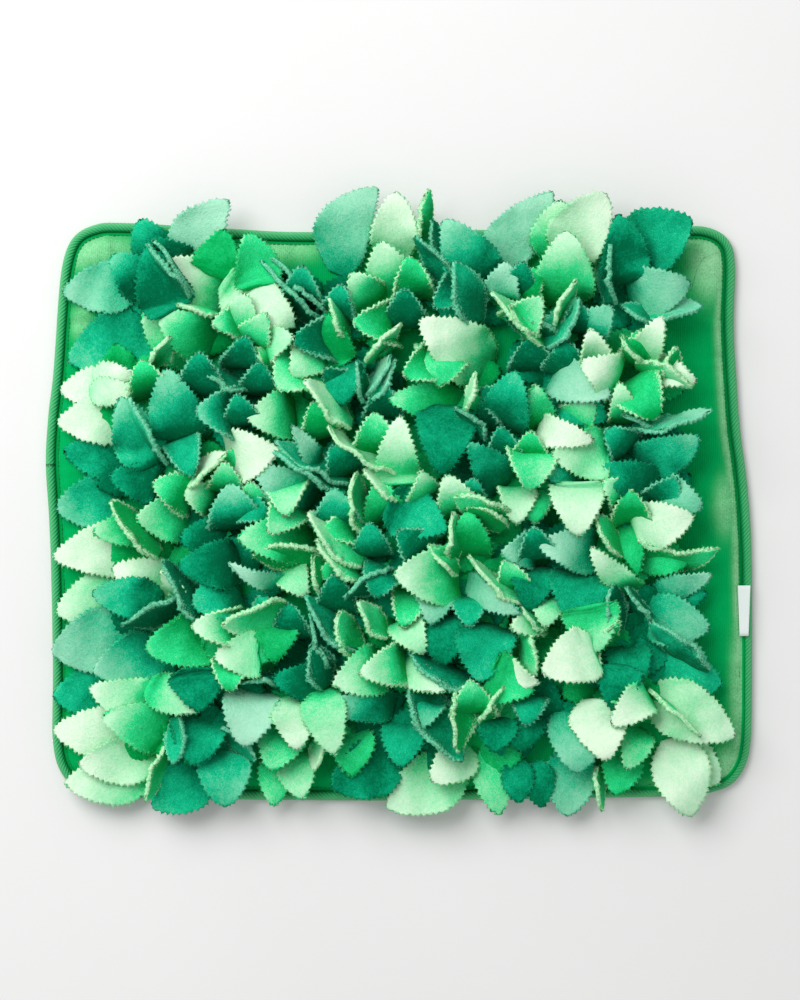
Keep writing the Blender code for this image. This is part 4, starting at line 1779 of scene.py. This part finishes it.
@dataclass
class MatPad:
    """The stuffed plush pad inside the piping. Lengths in mm."""

    seam_gap: float = 0.35
    pitch: float = 3.0
    margin: float = 46.0
    middle: float = 190.0
    name: str = "pad_plush"
    insets: tuple[float, ...] = (
        -1.6, 0.0, 1.2, 2.4, 3.6, 4.8, 7.0, 9.6, 12.4, 15.6, 19.4, 23.6, 28.2, 33.2, 39.0, 46.0,
        54.0, 63.0, 74.0, 88.0, 106.0, 128.0, 154.0, 184.0, 214.0)
    crown: tuple[Span, ...] = (
        (-1.6, 5.2), (0.0, 6.6), (1.2, 7.2), (2.4, 7.9), (3.6, 8.8), (4.8, 9.7), (7.0, 11.2),
        (9.6, 12.6), (17.0, 14.2), (40.0, 14.4), (260.0, 14.5))
    under_insets: tuple[float, ...] = (0.0, 2.6, 6.6, 15.6, 33.2, 63.0, 106.0, 154.0, 214.0)
    underside: tuple[Span, ...] = ((0.0, 3.0), (3.0, 0.8), (8.0, 0.0), (260.0, 0.0))
    support_rings: tuple[int, int] = (1, 14)  # of the top, which the leaves lie on
    # middle x, middle y, half width, half depth and strength of each pale patch: pile lightened by
    # brushing, with a painted sheen highlight
    patches: tuple[tuple[float, float, float, float, float], ...] = (
        (-262.0, 212.0, 36.0, 15.0, 0.75), (-272.0, 152.0, 9.0, 16.0, 0.6),
        (-95.0, 216.0, 26.0, 12.0, 0.7), (267.0, 204.0, 19.0, 32.0, 1.0),
        (278.0, -4.0, 10.0, 24.0, 0.7), (282.0, -226.0, 15.0, 18.0, 0.8),
        (290.0, -165.0, 8.0, 62.0, 0.9))
    patch_edge: float = 1.5
    # band: a pale strip along the right-hand seam, pile lightened by brushing with a painted sheen
    # highlight
    band_strength: float = 0.9
    band_depth: float = 4.6
    band_width: float = 3.2
    right_from: float = 200.0
    right_over: float = 60.0
    least_lap: float = 0.5
    most_lap: float = 3.2
    lap_below: float = -70.0
    lap_blend: float = 45.0
    lap_fade: float = 9.0
    # Painted shade in the seam groove: how far in it reaches, and how it fades.
    seam_shade_depth: float = 0.9
    seam_shade_fade: float = 1.2
    pucker_depth: float = 0.55
    pucker_waves: tuple[float, ...] = (11.0, 17.0, 26.0, 43.0)
    pucker_turn: float = 0.03
    pucker_groups: Span = (61.0, 37.0)
    pucker_phase: float = 1.3
    pucker_at: float = 9.0
    pucker_fade: float = 12.0
    pucker_seed: int = 5

    def outline(self, piping: EdgePiping) -> Array:
        """The seam line of the pad, just inside the piping."""
        line = piping.centre_line()
        return even_loop(line + loop_normals(line) * (piping.radius + self.seam_gap), self.pitch)

    def ring(self, outline: Array, depth: float) -> Array:
        """The outline moved inwards, and past the margin drawn towards the middle.

        Args:
            outline: The seam line.
            depth: How far inside it the ring lies.

        Returns:
            The points of the ring.
        """
        moved = inset(outline, min(depth, self.margin))
        centre = np.array([0.0, SHIFT_Y])
        return centre + (moved - centre) * (1 - max(depth - self.margin, 0.0) / self.middle)

    def puckers(self, run: Array, depth: float) -> Array:
        """How far the plush is drawn down at each place along the seam.

        Args:
            run: How far along the seam each place is.
            depth: How far inside it.

        Returns:
            A height for each place.
        """
        total = np.zeros_like(run)
        rng = np.random.default_rng(self.pucker_seed)
        for wavelength in self.pucker_waves:
            phase = rng.uniform(0, math.tau)
            total += np.sin(run * math.tau / wavelength + phase + depth * self.pucker_turn)
        first, second = self.pucker_groups
        gate = 0.5 + 0.5 * np.sin(run / first + self.pucker_phase) * np.sin(run / second)
        fade = math.exp(-((depth - self.pucker_at) / self.pucker_fade) ** 2)
        return total * gate * fade * self.pucker_depth

    def lap(self, outline: Array) -> Array:
        """How far the plush bulges over the piping, which is most at the lower right.

        Args:
            outline: The seam line.

        Returns:
            A distance for each point of the seam.
        """
        x, y = outline[:, 0], outline[:, 1] - SHIFT_Y
        low = np.clip((self.lap_below - y) / self.lap_blend, 0.0, 1.0) * (x > self.right_from)
        return self.least_lap + (self.most_lap - self.least_lap) * low

    def brushed(self, ring: Array, depth: float) -> Array:
        """How pale the pile is painted: lightened by brushing and a painted sheen highlight, and
        painted in shade in the seam groove.

        Args:
            ring: Points of a ring of the pad's top.
            depth: How far inside the seam the ring lies.

        Returns:
            A value for each point: up to 1 where it is lightened by brushing and a painted
                highlight,
            down to -1 where the seam groove is painted in shade.
        """
        x, y = ring[:, 0], ring[:, 1] - SHIFT_Y
        right = np.clip((x - self.right_from) / self.right_over, 0.0, 1.0)
        band = math.exp(-((depth - self.band_depth) / self.band_width) ** 2)
        total = self.band_strength * right * band
        for centre_x, centre_y, half_x, half_y, strength in self.patches:
            away = ((x - centre_x) / half_x) ** 2 + ((y - centre_y) / half_y) ** 2
            total = np.maximum(total, strength * np.exp(-away ** self.patch_edge))
        # Painted shade in the seam groove.
        seam_shade = np.clip((self.seam_shade_depth + self.seam_shade_fade - depth) / self.seam_shade_fade, 0.0, 1.0)
        return total * (1 - seam_shade) - seam_shade

    def top_rings(self, outline: Array, piping: EdgePiping) -> list[Array]:
        """The rings of the pad's top, from the seam inwards.

        Args:
            outline: The seam line.
            piping: The piping that the top laps over.

        Returns:
            The points of each ring, as rows of (x, y, z).
        """
        run = np.arange(len(outline)) * self.pitch
        depths, heights = np.asarray(self.crown).T
        rings = []
        for depth in self.insets:
            lap = self.lap(outline) * math.exp(-max(depth, 0.0) / self.lap_fade)
            ring = self.ring(outline, depth) - loop_normals(outline) * lap[:, None]
            height = np.full(len(run), np.interp(depth, depths, heights))
            if depth > 0.0:
                height = height + self.puckers(run, depth)
            if depth >= 0.0:
                from_cord = np.clip(piping.radius + self.seam_gap + depth - lap, 0.0, None)
                over = np.sqrt(np.clip(piping.radius ** 2 - from_cord ** 2, 0.0, None))
                height = np.maximum(height, piping.radius + over + self.seam_gap)
            rings.append(np.column_stack([ring, height]))
        return rings

    def support(self, piping: EdgePiping) -> Array:
        """What the leaves at the edge lie on.

        Args:
            piping: The piping round the pad.

        Returns:
            Points on top of the piping and of the pad beside it.
        """
        line = piping.centre_line()
        cord = np.column_stack([line, np.full(len(line), 2 * piping.radius)])
        rings = self.top_rings(self.outline(piping), piping)
        return np.vstack([cord, *rings[slice(*self.support_rings)]])

    def build(self, material: bpy.types.Material, piping: EdgePiping) -> None:
        """Makes the pad as one closed shell, from the middle of its top to that of its underside.

        Args:
            material: Its finish.
            piping: The piping that it sits in.
        """
        outline = self.outline(piping)
        count = len(outline)
        top = self.top_rings(outline, piping)
        brushed = [self.brushed(ring[:, :2], depth) for ring, depth in zip(top, self.insets)]
        heights = np.interp(self.under_insets, *np.asarray(self.underside).T)
        under = [np.column_stack([self.ring(outline, depth), np.full(count, height)])
                 for depth, height in zip(self.under_insets, heights)]
        rings = top[::-1] + under
        values = brushed[::-1] + [np.zeros(count)] * len(under)
        points = np.vstack(rings)
        here = np.arange(count * (len(rings) - 1)).reshape(-1, count)
        after = np.roll(here, -1, axis=1)
        quads = np.stack([here, here + count, after + count, after], axis=-1).reshape(-1, 4)
        buffer = MeshBuffer()
        buffer.add(points, quads, points[:, :2], brushed=np.concatenate(values))
        piece = buffer.build(self.name, material)
        self.close(piece, count, len(rings))
        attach(piece, ROOT)
        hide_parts("mat_pad")
        LOG.info("%s: %d rings", piece.name, len(rings))

    @staticmethod
    def close(piece: bpy.types.Object, count: int, levels: int) -> None:
        """Fills the first and the last ring of the shell.

        Args:
            piece: The pad's object.
            count: Points of each ring.
            levels: How many rings there are.
        """
        shell = bmesh.new()
        shell.from_mesh(piece.data)
        shell.verts.ensure_lookup_table()
        for start in (0, (levels - 1) * count):
            face = shell.faces.new([shell.verts[start + index] for index in range(count)])
            face.smooth = True
        bmesh.ops.recalc_face_normals(shell, faces=shell.faces)
        bmesh.ops.triangulate(shell, faces=[f for f in shell.faces if len(f.verts) > 4])
        shell.to_mesh(piece.data)
        shell.free()


@dataclass
class SeamStitches:
    """The row of stitches beside the piping, set along it by Geometry Nodes. Lengths in mm."""

    depth: float = 1.6
    height: float = 8.1
    pitch: float = 3.6
    length: float = 2.4
    radius: float = 0.42
    sides: int = 6
    name: str = "seam_stitches"

    def recipe(self) -> Recipe:
        """Builds the tree that sets a stitch at each point of the seam.

        Returns:
            The tree and its named inputs.
        """
        recipe, links, given, result = Recipe.start("Stitches", (
            ("Length", "NodeSocketFloat"), ("Radius", "NodeSocketFloat"),
            ("Material", "NodeSocketMaterial")))
        turned = links.node("FunctionNodeAlignEulerToVector",
                            {"Vector": links.named("way", "FLOAT_VECTOR")}, axis="Z").outputs[0]
        stitch = links.node("GeometryNodeMeshCylinder", {
            "Vertices": self.sides, "Radius": given["Radius"], "Depth": given["Length"]},
            fill_type="NGON").outputs["Mesh"]
        placed = links.node("GeometryNodeInstanceOnPoints", {
            "Points": given["Geometry"], "Instance": stitch, "Rotation": turned}).outputs[0]
        links.join(links.dressed(placed, given["Material"]), result[0])
        return recipe

    def build(self, material: bpy.types.Material, pad: MatPad, piping: EdgePiping) -> None:
        """Sets the stitches along the seam.

        Args:
            material: The finish of the thread.
            pad: The pad, whose seam they follow.
            piping: The piping that the seam holds.
        """
        line = even_loop(pad.ring(pad.outline(piping), self.depth), self.pitch)
        way = np.roll(line, -1, axis=0) - np.roll(line, 1, axis=0)
        mesh = bpy.data.meshes.new(self.name)
        places = np.column_stack([line, np.full(len(line), self.height)]) * MM
        mesh.from_pydata(places.tolist(), [], [])
        attribute = mesh.attributes.new("way", "FLOAT_VECTOR", "POINT")
        attribute.data.foreach_set("vector", np.column_stack([way, np.zeros(len(way))]).ravel())
        piece = place_in_scene(self.name, mesh)
        self.recipe().bake(piece, {"Length": self.length * MM, "Radius": self.radius * MM,
                                   "Material": material})
        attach(piece, ROOT)
        LOG.info("%s: %d stitches", piece.name, len(line))


@dataclass
class SideLabel:
    """The blank folded tape in the right-hand seam. Lengths in mm."""

    node: str = "side_label"
    name: str = "side_label_tape"
    thickness: float = 0.4
    rounding: float = 0.05
    layer_gap: float = 0.7
    height: float = 11.2
    fall: float = 0.6
    inner_reach: float = 13.4
    outer_reach: float = 4.6
    slant: float = 0.8
    columns: int = 14
    face_steps: int = 9
    turn_steps: int = 7

    def path(self, fold: float) -> list[tuple[float, float, float]]:
        """The tape from one end to the other, as it folds.

        Args:
            fold: Half the gap between its layers.

        Returns:
            How far out each point is as a share, how far past the turn, and how high.
        """
        shares = np.linspace(0.0, 1.0, self.face_steps)
        turn = np.radians(np.linspace(90.0, -90.0, self.turn_steps))[1:-1]
        outward = [(share, 0.0, fold) for share in shares]
        round_fold = [(1.0, fold * math.cos(angle), fold * math.sin(angle)) for angle in turn]
        inward = [(share, 0.0, -fold) for share in shares[::-1]]
        return outward + round_fold + inward

    def build(self, material: bpy.types.Material, rests_on: str) -> None:
        """Makes the tape, folded over the piping.

        Args:
            material: Its finish.
            rests_on: Name of the piece that it lies over; not used.
        """
        low, high = (np.array(corner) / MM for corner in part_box(self.node))
        middle_y, half = 0.5 * (low[1] + high[1]), 0.5 * (high[1] - low[1])
        along = np.linspace(-1.0, 1.0, self.columns)
        start = high[0] - self.inner_reach - self.slant * along
        end = high[0] - self.outer_reach + self.slant * along
        fold = 0.5 * self.layer_gap
        path = self.path(fold)
        sheet = np.stack([
            np.column_stack([start + (end - start) * share + past, middle_y + half * along,
                             np.full(self.columns, self.height - self.fall * share + rise)])
            for share, past, rise in path])
        points = slab_points(sheet, sheet_normals(sheet), self.thickness, self.rounding)
        rows = len(path)
        width = 2 * (self.inner_reach - self.outer_reach) + math.pi * fold
        flat = np.stack(np.meshgrid(np.linspace(0, width, rows),
                                    np.linspace(0, 2 * half, self.columns),
                                    indexing="ij"), axis=-1).reshape(-1, 2)
        edge = flat[slab_edge(rows, self.columns)]
        buffer = MeshBuffer()
        buffer.add(points, slab_quads(rows, self.columns), np.vstack([flat, flat, edge]))
        piece = buffer.build(self.name, material)
        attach(piece, ROOT)
        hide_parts(self.node)
        LOG.info("%s: blank tape", piece.name)


@dataclass
class Studio:
    """Floor, lights and camera. Lengths in metres."""

    floor_side: float = 8.0
    floor_dark: Colour = (0.77, 0.768, 0.765)
    floor_light: Colour = (0.81, 0.81, 0.805)
    floor_mottle: float = 3.0
    floor_roughness: float = 0.8
    floor_specular: float = 0.1
    key_place: tuple[float, float, float] = (-1.3, 1.4, 2.1)
    key_side: float = 2.1
    key_power: float = 76.0
    fill_strength: float = 0.55
    fill_colour: Colour = (1.0, 1.0, 1.0)
    lens: float = 100.8
    sensor: float = 36.0

    def build(self) -> None:
        """Makes the floor, the lights and the camera."""
        self.floor()
        self.lights()
        self.camera()
        LOG.info("studio")

    def floor(self) -> None:
        """A plain pale floor under the mat."""
        material, links, shader = start_material("studio_floor", {
            "Roughness": self.floor_roughness, "Specular IOR Level": self.floor_specular})
        mottle = links.noise(links.node("ShaderNodeTexCoord").outputs["Object"],
                             self.floor_mottle)
        colour = links.blend(mottle, rgba(self.floor_dark), rgba(self.floor_light))
        links.join(colour, shader.inputs["Base Color"])
        half = self.floor_side / 2 / MM
        corners = np.array([(-half, -half, 0.0), (half, -half, 0.0), (half, half, 0.0),
                            (-half, half, 0.0)])
        buffer = MeshBuffer()
        buffer.add(corners, np.array([[0, 1, 2, 3]]), corners[:, :2])
        buffer.build("studio_floor", material)

    def lights(self) -> None:
        """One large soft key from the upper left, and an even fill."""
        lamp = bpy.data.lights.new("key", "AREA")
        lamp.shape = "SQUARE"
        lamp.size = self.key_side
        lamp.energy = self.key_power
        key = place_in_scene("key", lamp)
        key.location = self.key_place
        key.rotation_euler = (-key.location).to_track_quat("-Z", "Y").to_euler()
        world = bpy.data.worlds.new("studio_world")
        world.use_nodes = True
        background = world.node_tree.nodes["Background"]
        background.inputs["Color"].default_value = rgba(self.fill_colour)
        background.inputs["Strength"].default_value = self.fill_strength
        bpy.context.scene.world = world

    def camera(self) -> None:
        """A camera straight above the mat, upright with it."""
        lens = bpy.data.cameras.new("camera")
        lens.lens = self.lens
        lens.sensor_width = self.sensor
        eye = place_in_scene("camera", lens)
        eye.location = (0.0, SHIFT_Y * MM, CAMERA_HEIGHT * MM)
        bpy.context.scene.camera = eye


def main() -> None:
    """Builds the mat and its studio."""
    logging.basicConfig(level=logging.INFO, format="%(message)s")
    bpy.context.scene.view_settings.view_transform = "Standard"
    effects = Effects()
    wardrobe = Wardrobe()
    piping = EdgePiping()
    piping.build(wardrobe.piping.material(effects))
    pad = MatPad()
    pad.build(wardrobe.plush.material(effects), piping)
    SeamStitches().build(wardrobe.thread.material(effects), pad, piping)
    fleeces = {Cloth.MINT: wardrobe.mint, Cloth.TEAL: wardrobe.teal}
    LeafBed().build({cloth: fleece.material(effects) for cloth, fleece in fleeces.items()},
                    {cloth: fleece.fibre_material() for cloth, fleece in fleeces.items()},
                    pad.support(piping), pad.name)
    SideLabel().build(wardrobe.label.material(effects), piping.name)
    Studio().build()


if __name__ == "__main__":
    main()
